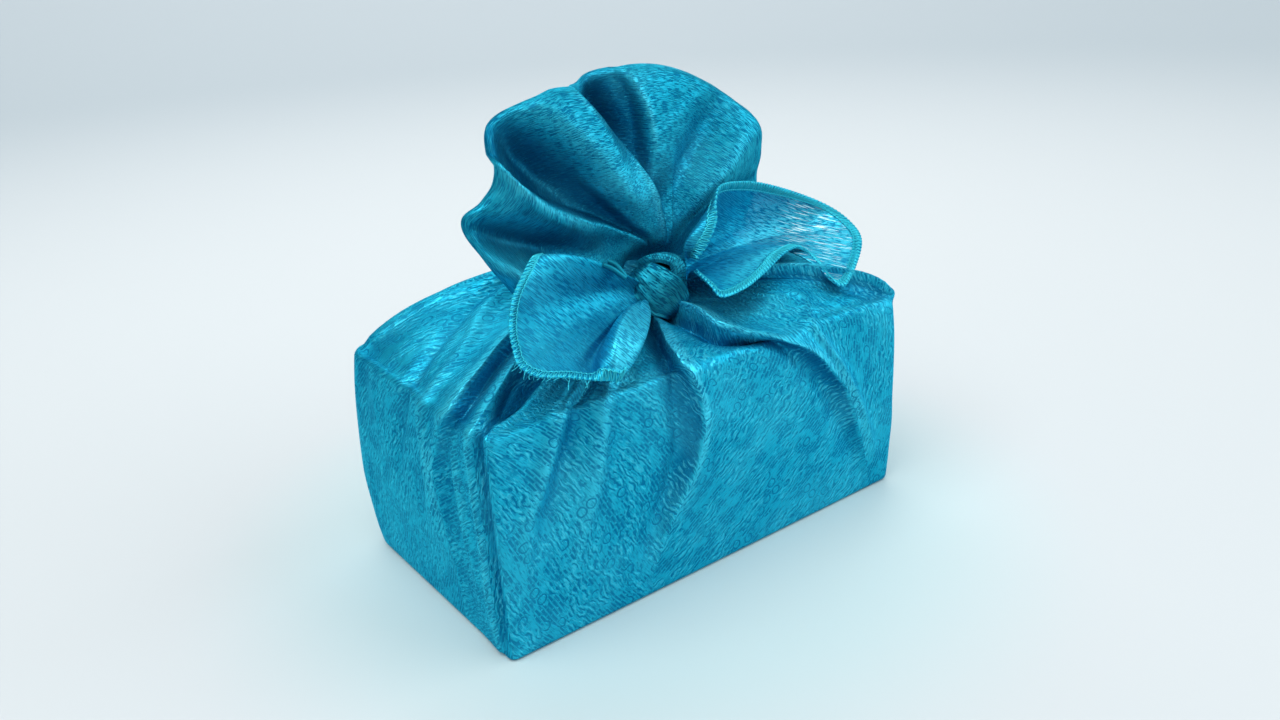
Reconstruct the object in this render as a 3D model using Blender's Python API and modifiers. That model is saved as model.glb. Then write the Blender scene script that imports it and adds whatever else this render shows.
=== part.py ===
"""A cloth wrapped round a box, gathered and knotted on top.

One square cloth covers the box, rises to a knot, and leaves it as a fan of doubled cloth
behind and two hemmed tails at the sides. The box does not show, so the wrap is one filled body.
The origin is the middle of the flat bottom, X runs along the box and the front faces -Y.
"""

import math
from collections import namedtuple

import bmesh
import bpy
from mathutils import Vector

MM = 0.001
NAME = "furoshiki"

# The wrapped box, and the tent of cloth that rises from its rim to the neck under the knot
LENGTH = 200.0
WIDTH = 114.0
HEIGHT = 89.5
RIM_RADIUS = 2.6
FOOT_RADIUS = 2.2
NECK = Vector((10.0, -5.0))
TENT_REACH = 0.6
TENT_CURVE = 0.75
NECK_LEVEL = HEIGHT + 14.0
SPACING = 6.4
LIP_STEP = 2.2
LIP_HOLLOW = 7.0

# The path of the cloth from the knot outwards: the top of the wall, the heights at which a fold's
# mid and low places are read, the foot of the wall, and the middle of the bottom
WALL_TOP = 1.06
WALL_MID = 1.4
WALL_LOW = 1.78
WALL_FOOT = 1.97
BOTTOM = 3.0
WALL_ROWS = 9
TENT_ROWS = [0.14, 0.26, 0.38, 0.50, 0.61, 0.71, 0.80, 0.88, 0.95, 1.0]

# The cloth above the box
CLOTH = 1.5
FAN_CENTRE = Vector((10.0, 3.0, 104.0))
FAN_NECK = 9.0
FAN_LEAN = 0.12
FAN_GAP = 7.0
FAN_COLUMNS = 42
FAN_ROWS = 16
TAIL_COLUMNS = 14
TAIL_ROWS = 8
TAIL_NECK = 4.5

CLOTH_COLOUR = (0.010, 0.270, 0.430, 1.0)

# Each wall runs anticlockwise from its first corner, seen from above
Wall = namedtuple("Wall", "start along out length")
WALLS = {
    "front": Wall((-LENGTH / 2, -WIDTH / 2), (1, 0), (0, -1), LENGTH),
    "right": Wall((LENGTH / 2, -WIDTH / 2), (0, 1), (1, 0), WIDTH),
    "back": Wall((LENGTH / 2, WIDTH / 2), (-1, 0), (0, 1), LENGTH),
    "left": Wall((-LENGTH / 2, WIDTH / 2), (0, -1), (-1, 0), WIDTH),
}
ROUND = 2 * (LENGTH + WIDTH)

# The corner at the start of each wall: its radius in plan, and how far the cloth stands off there
# and at the wall's middle. The tent rises towards the knot by rise, at the corner and at the middle
Corner = namedtuple("Corner", "wall radius swell swell_mid rise rise_mid")
CORNERS = [
    Corner("front", 3.2, 0.0, 0.0, 9.0, 5.0),
    Corner("right", 3.5, 2.0, 1.5, 14.0, 18.0),
    Corner("back", 6.0, 3.0, 1.5, 22.0, 23.0),
    Corner("left", 11.0, 4.5, 2.0, 25.0, 17.0),
]

# A fold runs from the knot over the rim and down a wall. Its places are the wall's own x or y at
# the rim, halfway down and near the foot. It starts and ends at steps along the path, where the
# rim is 1 and the foot is 2. A lip is cloth that overlaps its neighbour, on its positive or
# negative side along the wall's walk
Fold = namedtuple("Fold", "wall kind rim mid low start end height width side")
FOLDS = [
    Fold("front", "lip", -12.5, -12.0, -35.0, 0.15, 1.86, 4.2, 26.0, 1),
    Fold("front", "soft", -30.0, -38.0, -50.0, 0.30, 1.80, -3.4, 11.0, 0),
    Fold("front", "soft", -54.0, -57.0, -64.0, 0.30, 1.60, 2.0, 7.0, 0),
    Fold("front", "soft", -66.0, -67.0, -72.0, 0.50, 1.50, -1.6, 6.0, 0),
    Fold("front", "soft", -76.0, -81.0, -86.0, 0.50, 1.60, 1.8, 6.0, 0),
    Fold("front", "lip", 21.0, 65.0, 82.0, 0.15, 1.84, 4.6, 13.0, 1),
    Fold("front", "soft", 12.0, 56.0, 75.0, 0.90, 1.84, -2.8, 9.0, 0),
    Fold("front", "soft", 38.0, 73.0, 88.0, 0.20, 1.80, 2.4, 3.6, 0),
    Fold("front", "soft", 50.0, 79.0, 92.0, 0.35, 1.50, -1.8, 6.0, 0),
    Fold("front", "soft", 92.0, 94.0, 96.0, 0.55, 1.06, -3.2, 6.0, 0),
    Fold("right", "lip", -55.0, -56.0, -56.0, 0.20, 1.02, 5.0, 16.0, 1),
    Fold("right", "soft", -36.0, -40.0, -46.0, 0.25, 1.60, -2.6, 6.0, 0),
    Fold("right", "soft", -14.0, -20.0, -24.0, 0.25, 1.75, 2.8, 7.0, 0),
    Fold("right", "soft", 14.0, 12.0, 14.0, 0.25, 1.70, -2.4, 8.0, 0),
    Fold("right", "soft", 36.0, 38.0, 42.0, 0.25, 1.70, 2.6, 7.0, 0),
    Fold("back", "lip", 66.0, 74.0, 84.0, 0.25, 1.75, 3.6, 16.0, -1),
    Fold("back", "soft", 34.0, 38.0, 46.0, 0.25, 1.75, -2.8, 10.0, 0),
    Fold("back", "soft", 4.0, 4.0, 2.0, 0.25, 1.65, 3.0, 9.0, 0),
    Fold("back", "lip", -36.0, -44.0, -56.0, 0.25, 1.80, 3.4, 18.0, 1),
    Fold("back", "soft", -74.0, -80.0, -86.0, 0.30, 1.60, 2.2, 9.0, 0),
    Fold("left", "soft", 40.0, 43.0, 45.0, 0.30, 1.55, -2.0, 8.0, 0),
    Fold("left", "soft", 18.0, 12.0, 6.0, 0.30, 1.70, 2.4, 8.0, 0),
    Fold("left", "soft", 4.0, -3.0, -14.0, 0.30, 1.72, -2.2, 5.0, 0),
    Fold("left", "soft", -4.0, -14.0, -28.0, 0.30, 1.72, 2.6, 5.0, 0),
    Fold("left", "soft", -15.0, -21.0, -33.0, 0.30, 1.70, 2.4, 4.0, 0),
    Fold("left", "lip", -33.0, -38.0, -42.0, 0.25, 1.82, 4.6, 12.0, 1),
    Fold("left", "soft", -28.0, -34.0, -39.0, 0.25, 1.76, -3.4, 5.0, 0),
    Fold("left", "lip", -51.0, -49.5, -50.0, 0.40, 1.95, 3.8, 14.0, -1),
    Fold("left", "soft", -55.5, -56.0, -56.0, 0.30, 0.93, -7.5, 7.0, 0),
]

# The fan's outline, as the distance from its centre at each angle from +X
Rim = namedtuple("Rim", "angle reach")
FAN_RIM = [
    Rim(6, 66), Rim(20, 79), Rim(34, 91), Rim(45, 90), Rim(60, 87), Rim(78, 86), Rim(94, 85),
    Rim(103, 83), Rim(112, 87), Rim(129, 90), Rim(139, 80), Rim(146, 79), Rim(153, 82),
    Rim(162, 72), Rim(172, 60), Rim(179, 55),
]

# A pleat's place is its angle at the rim and at the neck. Its depth is towards the front
Pleat = namedtuple("Pleat", "kind rim neck depth width side")
PLEATS = [
    Pleat("soft", 14, 24, -4.0, 7.0, 0),
    Pleat("soft", 32, 36, -3.0, 4.0, 0),
    Pleat("soft", 44, 48, 7.5, 8.0, 0),
    Pleat("soft", 57, 58, -6.0, 5.0, 0),
    Pleat("lip", 89, 87, 7.0, 20.0, -1),
    Pleat("soft", 94, 91, -7.5, 5.0, 0),
    Pleat("lip", 101, 95, 8.0, 9.0, 1),
    Pleat("soft", 110, 104, -4.0, 5.0, 0),
    Pleat("soft", 118, 112, 6.0, 5.5, 0),
    Pleat("soft", 129, 126, -9.0, 5.5, 0),
    Pleat("lip", 134, 131, 9.0, 12.0, 1),
    Pleat("soft", 153, 150, -7.0, 6.0, 0),
    Pleat("soft", 168, 168, 6.0, 8.0, 0),
]

# Each ray of a tail leaves the knot, passes its belly point and ends on the hem. The rays start on
# an arc round the tail's neck, in the plane across X, at angles from the back over the top
Ray = namedtuple("Ray", "belly hem")
Neck = namedtuple("Neck", "middle first last")
LEFT_NECK = Neck((-5.0, -19.0, 107.0), 90.0, -110.0)
LEFT_TAIL = [
    Ray((-32, -22, 126), (-60, -26, 136)),
    Ray((-38, -26, 120), (-71, -36, 129)),
    Ray((-42, -38, 118), (-78, -46, 121)),
    Ray((-44, -42, 108), (-82, -56, 109)),
    Ray((-38, -42, 102), (-66, -60, 101.5)),
    Ray((-33, -51, 111), (-56, -63, 99)),
    Ray((-24, -49, 103), (-47, -61, 96.5)),
]
RIGHT_NECK = Neck((18.0, -14.0, 109.0), 130.0, -150.0)
RIGHT_TAIL = [
    Ray((27, -16, 126), (32, -20, 139)),
    Ray((24, -14, 128), (38, -14, 143)),
    Ray((42, -6, 126), (54, -8, 140)),
    Ray((54, -6, 114), (76, -14, 134)),
    Ray((60, -14, 106), (92, -28, 124)),
    Ray((58, -24, 101), (99, -38, 111)),
    Ray((52, -36, 98), (80, -46, 98)),
    Ray((44, -34, 106), (60, -42, 113)),
    Ray((34, -30, 100), (38, -42, 104)),
    Ray((26, -26, 104), (22, -38, 105)),
    Ray((20, -22, 108), (16, -28, 111)),
]

# A bundle is a soft rounded lump of the knot: its middle, its radii and its turns about X, Y and Z
Bundle = namedtuple("Bundle", "middle radii turn groove")
KNOT = [
    Bundle((3, -19, 106), (17, 12, 13), (-15, 28, -25), 1.3),
    Bundle((11, -10, 116), (12, 10, 8), (-10, -30, -25), 1.0),
    Bundle((8, -3, 105), (15, 11, 14), (0, 0, 0), 0.8),
]


def smooth(low, high, value):
    """Go from 0 to 1 between low and high."""
    part = min(max((value - low) / (high - low), 0.0), 1.0)
    return part * part * (3.0 - 2.0 * part)


def along(value, places, values):
    """Read a value from straight lines between a table's places."""
    if value <= places[0]:
        return values[0]
    for index in range(1, len(places)):
        if value <= places[index]:
            share = (value - places[index - 1]) / (places[index] - places[index - 1])
            return values[index - 1] + share * (values[index] - values[index - 1])
    return values[-1]


def curve(values, place):
    """Read a vector from a smooth curve through the values, where place runs from 0 to 1."""
    spans = len(values) - 1
    index = min(int(place * spans), spans - 1)
    share = place * spans - index
    before = values[max(index - 1, 0)]
    here, there = values[index], values[index + 1]
    after = values[min(index + 2, spans)]
    leave, arrive = (there - before) / 2, (after - here) / 2
    return (here * (1 - 3 * share ** 2 + 2 * share ** 3) + there * (3 * share ** 2 - 2 * share ** 3)
            + leave * (share - 2 * share ** 2 + share ** 3) + arrive * (share ** 3 - share ** 2))


def profile(kind, distance, width, side):
    """The height of a fold across its run, from 0 to 1."""
    if kind == "soft":
        return math.exp(-(distance / width) ** 2)
    ahead = distance * side
    rise = smooth(-LIP_STEP, LIP_STEP / 2, ahead)
    return rise * math.exp(-max(ahead, 0.0) / width) - 0.2 * (1 - rise) * math.exp(-(ahead / LIP_HOLLOW) ** 2)


def wall_starts():
    """The place of each wall's first corner, as a distance round the rim."""
    starts = {}
    total = 0.0
    for name, wall in WALLS.items():
        starts[name] = total
        total += wall.length
    return starts


STARTS = wall_starts()


def wall_place(name, coordinate):
    """Turn a wall's own x or y into a distance along its walk."""
    wall = WALLS[name]
    axis = 0 if wall.along[0] else 1
    return (coordinate - wall.start[axis]) * wall.along[axis]


def corner_values(place):
    """The swell and the tent's rise at a distance round the rim."""
    places, swells, rises = [], [], []
    for corner in CORNERS:
        start = STARTS[corner.wall]
        places += [start, start + WALLS[corner.wall].length / 2]
        swells += [corner.swell, corner.swell_mid]
        rises += [corner.rise, corner.rise_mid]
    places.append(ROUND)
    swells.append(swells[0])
    rises.append(rises[0])
    return along(place, places, swells), along(place, places, rises)


def wall_columns(name):
    """The places of the mesh's columns on one wall, closer together at each lip."""
    wall = WALLS[name]
    radius = {corner.wall: corner.radius for corner in CORNERS}
    names = list(WALLS)
    following = names[(names.index(name) + 1) % len(names)]
    marks = [0.0, radius[name], wall.length - radius[following], wall.length]
    for fold in FOLDS:
        if fold.wall == name and fold.kind == "lip":
            lip = wall_place(name, fold.rim)
            marks += [lip - LIP_STEP * fold.side, lip + LIP_STEP / 2 * fold.side]
    marks = sorted(marks)
    columns = []
    for low, high in zip(marks, marks[1:]):
        steps = max(1, round((high - low) / SPACING))
        columns += [low + (high - low) * step / steps for step in range(steps)]
    return columns


def outline(name, place, inset):
    """A point of the box's rounded outline, and the way out of it."""
    wall = WALLS[name]
    names = list(WALLS)
    following = names[(names.index(name) + 1) % len(names)]
    before = names[names.index(name) - 1]
    radius = {corner.wall: corner.radius for corner in CORNERS}
    start, step, out = Vector(wall.start), Vector(wall.along), Vector(wall.out)
    ends = ((place, radius[name], Vector(WALLS[before].out), 0.0),
            (wall.length - place, radius[following], Vector(WALLS[following].out), wall.length))
    for distance, bend, other, corner in ends:
        if distance < bend:
            turn = math.radians(45) * (1 - distance / bend)
            way = (out * math.cos(turn) + other * math.sin(turn)).normalized()
            centre = start + step * corner - (out + other) * bend
            return centre + way * (bend - inset), way
    return start + step * place - out * inset, out


def lean(name, place, path):
    """The place along a wall that a column has reached on its way down, as the folds lean."""
    if path <= 1.0:
        return place
    tops, nows = [0.0], [0.0]
    rows = sorted((wall_place(name, fold.rim), fold) for fold in FOLDS if fold.wall == name)
    for top, fold in rows:
        mid, low = wall_place(name, fold.mid), wall_place(name, fold.low)
        tops.append(top)
        nows.append(along(path, (1.0, WALL_MID, WALL_LOW, 2.0), (top, mid, low, low)))
    length = WALLS[name].length
    return along(place, tops + [length], nows + [length])


def fold_height(place, path):
    """How far the folds raise the cloth at a distance round the rim and a step of the path."""
    height = 0.0
    for fold in FOLDS:
        offset = place - STARTS[fold.wall] - wall_place(fold.wall, fold.rim)
        offset = (offset + ROUND / 2) % ROUND - ROUND / 2
        strength = smooth(fold.start, fold.start + 0.3, path)
        strength *= 1 - smooth(fold.end - 0.35, fold.end + 0.08, path)
        if abs(offset) < 4 * fold.width and strength > 0:
            near = 0.35 + 0.65 * min(path, 1.0)
            height += fold.height * strength * near * profile(fold.kind, offset, fold.width, fold.side)
    return height


def wall_section(drop):
    """The level, inset and tilt of the rim's turn, the wall and the foot's turn, each a stretch of drop."""
    top = HEIGHT - RIM_RADIUS
    if drop < 0.5:
        turn = math.pi * drop
        return top + RIM_RADIUS * math.cos(turn), RIM_RADIUS * (1 - math.sin(turn)), 0.5 + drop
    if drop < 1.5:
        return top + (FOOT_RADIUS - top) * (drop - 0.5), 0.0, 1.0
    turn = math.pi * (drop - 1.5)
    return FOOT_RADIUS * (1 - math.sin(turn)), FOOT_RADIUS * (1 - math.cos(turn)), 1.0


def wrap_point(name, place, path):
    """A point of the wrap, where path runs from 0 at the knot over the rim at 1 and the foot at 2."""
    place_round = STARTS[name] + place
    swell, rise = corner_values(place_round)
    here = lean(name, place, path)
    if path <= 1.0:
        edge, way = outline(name, here, RIM_RADIUS)
        flat = NECK + (edge - NECK) * path
        share = min((1 - path) / TENT_REACH, 1.0)
        level = HEIGHT + rise * math.sin(math.pi / 2 * share ** TENT_CURVE)
        tilt = 0.5 * smooth(0.86, 1.0, path)
    elif path <= 2.0:
        drop = along(path, (1.0, WALL_TOP, WALL_FOOT, 2.0), (0.0, 0.5, 1.5, 2.0))
        level, inset, tilt = wall_section(drop)
        edge, way = outline(name, here, 0.0)
        bulge = swell * math.sin(math.pi * min(level / HEIGHT, 1.0)) ** 0.7
        flat = edge + way * (bulge - inset)
    else:
        edge, way = outline(name, lean(name, place, 2.0), FOOT_RADIUS)
        flat = edge * (BOTTOM - path)
        level, tilt = 0.0, 1.0
    height = fold_height(place_round, path) if path <= 2.0 else 0.0
    flat = flat + way * height * math.sin(tilt * math.pi / 2)
    if path < 2.0:
        level += height * math.cos(tilt * math.pi / 2)
    return Vector((flat.x, flat.y, max(level, 0.0)))


def path_stations():
    """The steps of the path at which the mesh has its rows, between its two poles."""
    wall = [WALL_TOP + (WALL_FOOT - WALL_TOP) * step / WALL_ROWS for step in range(WALL_ROWS + 1)]
    return TENT_ROWS + [(1.0 + WALL_TOP) / 2] + wall + [2.0, 2.6]


def finish(name, bm):
    """Write a bmesh in millimetres to an object in metres."""
    bmesh.ops.scale(bm, vec=(MM, MM, MM), verts=bm.verts)
    bmesh.ops.recalc_face_normals(bm, faces=bm.faces)
    mesh = bpy.data.meshes.new(name)
    bm.to_mesh(mesh)
    bm.free()
    return bpy.data.objects.new(name, mesh)


def wrap_body():
    """The filled wrap, from a sphere whose columns go round the rim and whose rows follow the path."""
    columns = [(name, place) for name in WALLS for place in wall_columns(name)]
    stations = path_stations()
    bm = bmesh.new()
    bmesh.ops.create_uvsphere(bm, u_segments=len(columns), v_segments=len(stations) + 1, radius=1.0)
    for vert in bm.verts:
        row = round(math.acos(min(max(vert.co.z, -1.0), 1.0)) / math.pi * (len(stations) + 1))
        if row == 0:
            vert.co = Vector((NECK.x, NECK.y, NECK_LEVEL))
        elif row == len(stations) + 1:
            vert.co = Vector((0.0, 0.0, 0.0))
        else:
            turn = math.atan2(vert.co.y, vert.co.x) / (2 * math.pi) % 1.0
            name, place = columns[math.floor(turn * len(columns) + 0.25) % len(columns)]
            vert.co = wrap_point(name, place, stations[row - 1])
    return finish(NAME, bm)


def sheet(name, columns, rows, place):
    """A grid moved by a function of its column and row shares, and thickened to the cloth."""
    bm = bmesh.new()
    bmesh.ops.create_grid(bm, x_segments=columns, y_segments=rows, size=0.5)
    for vert in bm.verts:
        vert.co = place(vert.co.x + 0.5, vert.co.y + 0.5)
    obj = finish(name, bm)
    solidify = obj.modifiers.new("thickness", "SOLIDIFY")
    solidify.thickness = CLOTH * MM
    solidify.offset = 0.0
    return obj


def fan_depth(angle, share):
    """How far the pleats bring the fan's cloth forward at an angle and a share of its reach."""
    depth = 0.0
    for pleat in PLEATS:
        middle = pleat.neck + (pleat.rim - pleat.neck) * share
        ramp = smooth(0.0, 0.45, share) * (1 - 0.45 * smooth(0.7, 1.0, share))
        depth += pleat.depth * ramp * profile(pleat.kind, angle - middle, pleat.width, pleat.side)
    return depth


def fan_point(across, down):
    """A point of the doubled fan: down runs up the front layer to the rim and down the back."""
    first, last = FAN_RIM[0].angle, FAN_RIM[-1].angle
    angle = first + (last - first) * across
    reach = along(angle, [rim.angle for rim in FAN_RIM], [rim.reach for rim in FAN_RIM])
    front = down <= 0.5
    share = 1 - abs(2 * down - 1)
    radius = FAN_NECK + (reach - FAN_NECK) * share
    turned = max(radius - (reach - FAN_GAP / 2), 0.0) / (FAN_GAP / 2)
    gap = FAN_GAP / 2 * math.sqrt(max(1 - turned ** 2, 0.0))
    depth = fan_depth(angle, share) * (1.0 if front else 0.8)
    back = FAN_LEAN * radius - depth + (-gap if front else gap)
    way = math.radians(angle)
    return FAN_CENTRE + Vector((radius * math.cos(way), back, radius * math.sin(way)))


def tail_point(neck, rays, across, out):
    """A point of a tail: across runs from ray to ray and out runs from the knot to the hem."""
    belly = curve([Vector(ray.belly) for ray in rays], across)
    hem = curve([Vector(ray.hem) for ray in rays], across)
    turn = math.radians(neck.first + (neck.last - neck.first) * across)
    root = Vector(neck.middle) + TAIL_NECK * Vector((0.0, math.cos(turn), math.sin(turn)))
    pull = 2 * belly - (root + hem) / 2
    return root * (1 - out) ** 2 + pull * 2 * out * (1 - out) + hem * out ** 2


def left_tail_point(across, out):
    return tail_point(LEFT_NECK, LEFT_TAIL, across, out)


def right_tail_point(across, out):
    return tail_point(RIGHT_NECK, RIGHT_TAIL, across, out)


def bundle(index, row):
    """A grooved lump of the knot."""
    bm = bmesh.new()
    bmesh.ops.create_uvsphere(bm, u_segments=16, v_segments=10, radius=1.0)
    for vert in bm.verts:
        groove = row.groove * (1 - abs(vert.co.x)) * math.cos(5 * math.atan2(vert.co.z, vert.co.y))
        radii = [radius + groove for radius in row.radii]
        vert.co = Vector(part * radius for part, radius in zip(vert.co, radii))
    obj = finish(f"bundle_{index}", bm)
    obj.location = Vector(row.middle) * MM
    obj.rotation_euler = [math.radians(turn) for turn in row.turn]
    return obj


def cloth_material():
    material = bpy.data.materials.new("turquoise_satin")
    material.use_nodes = True
    shader = material.node_tree.nodes["Principled BSDF"]
    shader.inputs["Base Color"].default_value = CLOTH_COLOUR
    shader.inputs["Roughness"].default_value = 0.42
    shader.inputs["Metallic"].default_value = 0.0
    return material


def join(body, pieces):
    """Join every piece to the wrap, as the one cloth that it is."""
    for piece in pieces:
        union = body.modifiers.new(piece.name, "BOOLEAN")
        union.operation = "UNION"
        union.solver = "EXACT"
        union.object = piece
        piece.hide_render = True
        piece.display_type = "WIRE"


def main():
    for obj in list(bpy.data.objects):
        bpy.data.objects.remove(obj)
    part = bpy.data.collections.new(NAME)
    cutters = bpy.data.collections.new("joined_pieces")
    for collection in (part, cutters):
        bpy.context.scene.collection.children.link(collection)
    body = wrap_body()
    body.data.materials.append(cloth_material())
    part.objects.link(body)
    pieces = [bundle(index, row) for index, row in enumerate(KNOT)]
    pieces.append(sheet("fan", FAN_COLUMNS, FAN_ROWS, fan_point))
    pieces.append(sheet("left_tail", TAIL_COLUMNS, TAIL_ROWS, left_tail_point))
    pieces.append(sheet("right_tail", TAIL_COLUMNS, TAIL_ROWS, right_tail_point))
    for piece in pieces:
        cutters.objects.link(piece)
    join(body, pieces)


main()
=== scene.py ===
"""A satin cloth wrapped round a box, gathered and knotted on top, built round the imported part.

One square cloth covers the box, rises to a knot, and leaves it as a fan of doubled cloth behind
and two hemmed tails at the sides. Tables are in millimetres, in the part's own frame: X runs
along the box, the front faces -Y and the bottom lies at Z = 0.
"""

import math
from collections import namedtuple

import bpy
import numpy as np
from mathutils import Matrix, Vector


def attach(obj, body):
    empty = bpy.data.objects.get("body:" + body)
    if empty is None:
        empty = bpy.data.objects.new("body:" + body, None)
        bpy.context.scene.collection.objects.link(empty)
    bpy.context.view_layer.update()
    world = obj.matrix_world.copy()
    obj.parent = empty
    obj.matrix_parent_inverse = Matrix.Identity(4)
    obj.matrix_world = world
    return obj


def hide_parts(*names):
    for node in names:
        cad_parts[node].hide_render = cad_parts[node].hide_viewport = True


bl_info = {
    "name": "Knotted Satin Wrap",
    "version": (1, 0, 0),
    "blender": (4, 5, 0),
    "location": "View3D > Sidebar > Wrap",
    "description": "A satin cloth wrapped round a box, with its knot, fan and hemmed tails",
    "category": "Add Mesh",
}

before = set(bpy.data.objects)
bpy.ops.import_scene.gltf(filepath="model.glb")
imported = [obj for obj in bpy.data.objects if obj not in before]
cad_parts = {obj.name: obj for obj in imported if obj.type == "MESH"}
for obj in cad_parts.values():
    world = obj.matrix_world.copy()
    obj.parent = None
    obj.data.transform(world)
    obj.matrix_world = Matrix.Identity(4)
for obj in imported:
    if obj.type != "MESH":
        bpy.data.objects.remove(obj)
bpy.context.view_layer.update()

MM = 0.001
BODY = "root"
NODE = "furoshiki"
UV = "cloth"
# The mesh attribute that holds the painted highlight and shade
PAINTED_LIGHT_ATTRIBUTE = "lay"

# The wrapped box, and the tent of cloth that rises from its rim to the neck under the knot: how
# far out it reaches its height, and the powers that shape its rise and the walls' swell
LENGTH = 200.0
WIDTH = 114.0
HEIGHT = 89.5
RIM_RADIUS = 2.6
FOOT_RADIUS = 2.2
NECK = np.array([10.0, -5.0])
TENT_REACH = 0.6
TENT_CURVE = 0.75
SWELL_CURVE = 0.7

# The path of the cloth from the knot outwards: 0 at the neck, 1 at the rim, 2 at the foot and 3 at
# the middle of the bottom. The cloth turns over the rim up to WALL_TOP, and under from WALL_FOOT
WALL_TOP = 1.06
WALL_FOOT = 1.97
TRACK_STEP = 0.01

# The run of a lip's edge on the tent and on the wall, how far a lip leans over its neighbour, how
# far the hollow beside a lip or a crease reaches, and the powers that shape a lip's slope on the
# wall and its fall behind the edge
LIP_STEP = 1.6
WALL_STEP = 10.0
LIP_OVERHANG = 2.0
LIP_HOLLOW = 9.0
CREASE_HOLLOW = 3.2
WALL_SLOPE = 1.6
LIP_FALL = 1.4

# The stretches of the path over which lips widen to their run on the wall, and stop leaning over
LIPS_WIDEN = (0.99, 1.2)
OVERHANG_ENDS = (1.0, 1.2)

# Where along the path the tent begins to turn down over the rim
TILT_BEGINS = 0.86

# How close together the folds lie at the neck, as a share of their places at the rim
NECK_PACKING = 0.3

# Painted light at the folds: a painted highlight on a fold's crest and painted shade where the
# cloth dips beside it: the reach, the edge and the strength of the painted shade, the highlight's
# width, and the heights of folds and pleats that count in full
PAINTED_SHADE_REACH = 8.0
PAINTED_SHADE_EDGE = (-1.2, 0.4)
PAINTED_SHADE_DEPTH = 1.2
PAINTED_HIGHLIGHT_WIDTH = 2.0
FOLD_FULL = 4.5
PLEAT_FULL = 10.0

# How much painted shade darkens the gathered cloth at the neck, and the stretch of the path over
# which that ends
NECK_PAINTED_SHADE = 1.0
NECK_SHADE_ENDS = (0.14, 0.40)

# Fine wrinkles: their height, the size of their lumps, what a step of the path counts for, and the
# stretches of the path over which they begin and end. The seeds start each random draw
WRINKLE = 0.22
WRAP_LUMPS = 7.0
FAN_LUMPS = 12.0
PATH_LENGTH = 24.0
WRINKLES_BEGIN = (0.1, 0.5)
WRINKLES_END = (1.75, 2.0)
SEEDS = {"wrap": 5, "fan": 8, "frays": 4}

# The fan's centre, its radius at the neck, its lean back for each millimetre up, the gap between
# its layers and the back layer's share of the pleats' depth, and the radius of a tail's neck
FAN_CENTRE = np.array([10.0, 3.0, 104.0])
FAN_NECK = 9.0
FAN_LEAN = 0.12
FAN_GAP = 6.0
FAN_BACK = 0.8
TAIL_NECK = 4.5

# Where a tail's painted highlight and shade begin beyond the knot, and end before the hem, as
# shares of its reach
TAIL_PAINTED_LIGHT_BEGINS = (0.0, 0.35)
TAIL_PAINTED_LIGHT_ENDS = (0.8, 1.0)

# Half the hem's thickness, how far it goes past the edge, the step between its rows and the points
# round it, and the pitch, steps and radius of its stitches and how far they stand out
HEM_HALF = 0.5
HEM_PAST = 0.4
HEM_STEP = 0.9
HEM_ROUND = 15
STITCH = 2.0
STITCH_STEPS = 10
THREAD_RADIUS = 0.3
THREAD_OUT = 0.12

# The stretch of the left tail's hem that frays, and its loose threads
FRAYED = (0.38, 0.60)
FRAY_COUNT = 16
FRAY_RADIUS = 0.12
FRAY_LENGTHS = (1.2, 3.4)

# The lines of each grid across and down, and how close the wrap's columns are at lips and corners
FAN_GRID = (280, 119)
TAIL_GRID = (220, 70)
BAND_GRID = (60, 90)
CLOSE_SPACING = 0.55
LIP_REACH = 3.0

# How fine the weave is on the fan and the knot, and how far apart the wrap's panels lie in it
FAN_WEAVE = 1.2
KNOT_WEAVE = 0.85
PANEL_SHIFT = 300.0

# Each wall runs anticlockwise from its first corner, seen from above
Wall = namedtuple("Wall", "start along out length spacing")
WALLS = {
    "front": Wall((-LENGTH / 2, -WIDTH / 2), (1, 0), (0, -1), LENGTH, 1.1),
    "right": Wall((LENGTH / 2, -WIDTH / 2), (0, 1), (1, 0), WIDTH, 2.1),
    "back": Wall((LENGTH / 2, WIDTH / 2), (-1, 0), (0, 1), LENGTH, 2.6),
    "left": Wall((-LENGTH / 2, WIDTH / 2), (0, -1), (-1, 0), WIDTH, 1.15),
}
ROUND = 2 * (LENGTH + WIDTH)

# The corner at the start of each wall: its radius in plan, and how far the cloth swells and the
# tent rises towards the knot, at the corner and at the wall's middle
Corner = namedtuple("Corner", "wall radius swell swell_mid rise rise_mid")
CORNERS = [
    Corner("front", 3.2, 0.0, 0.0, 9.0, 5.0),
    Corner("right", 3.5, 2.0, 1.5, 14.0, 18.0),
    Corner("back", 6.0, 3.0, 1.5, 22.0, 23.0),
    Corner("left", 11.0, 4.5, 2.0, 25.0, 17.0),
]

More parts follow.
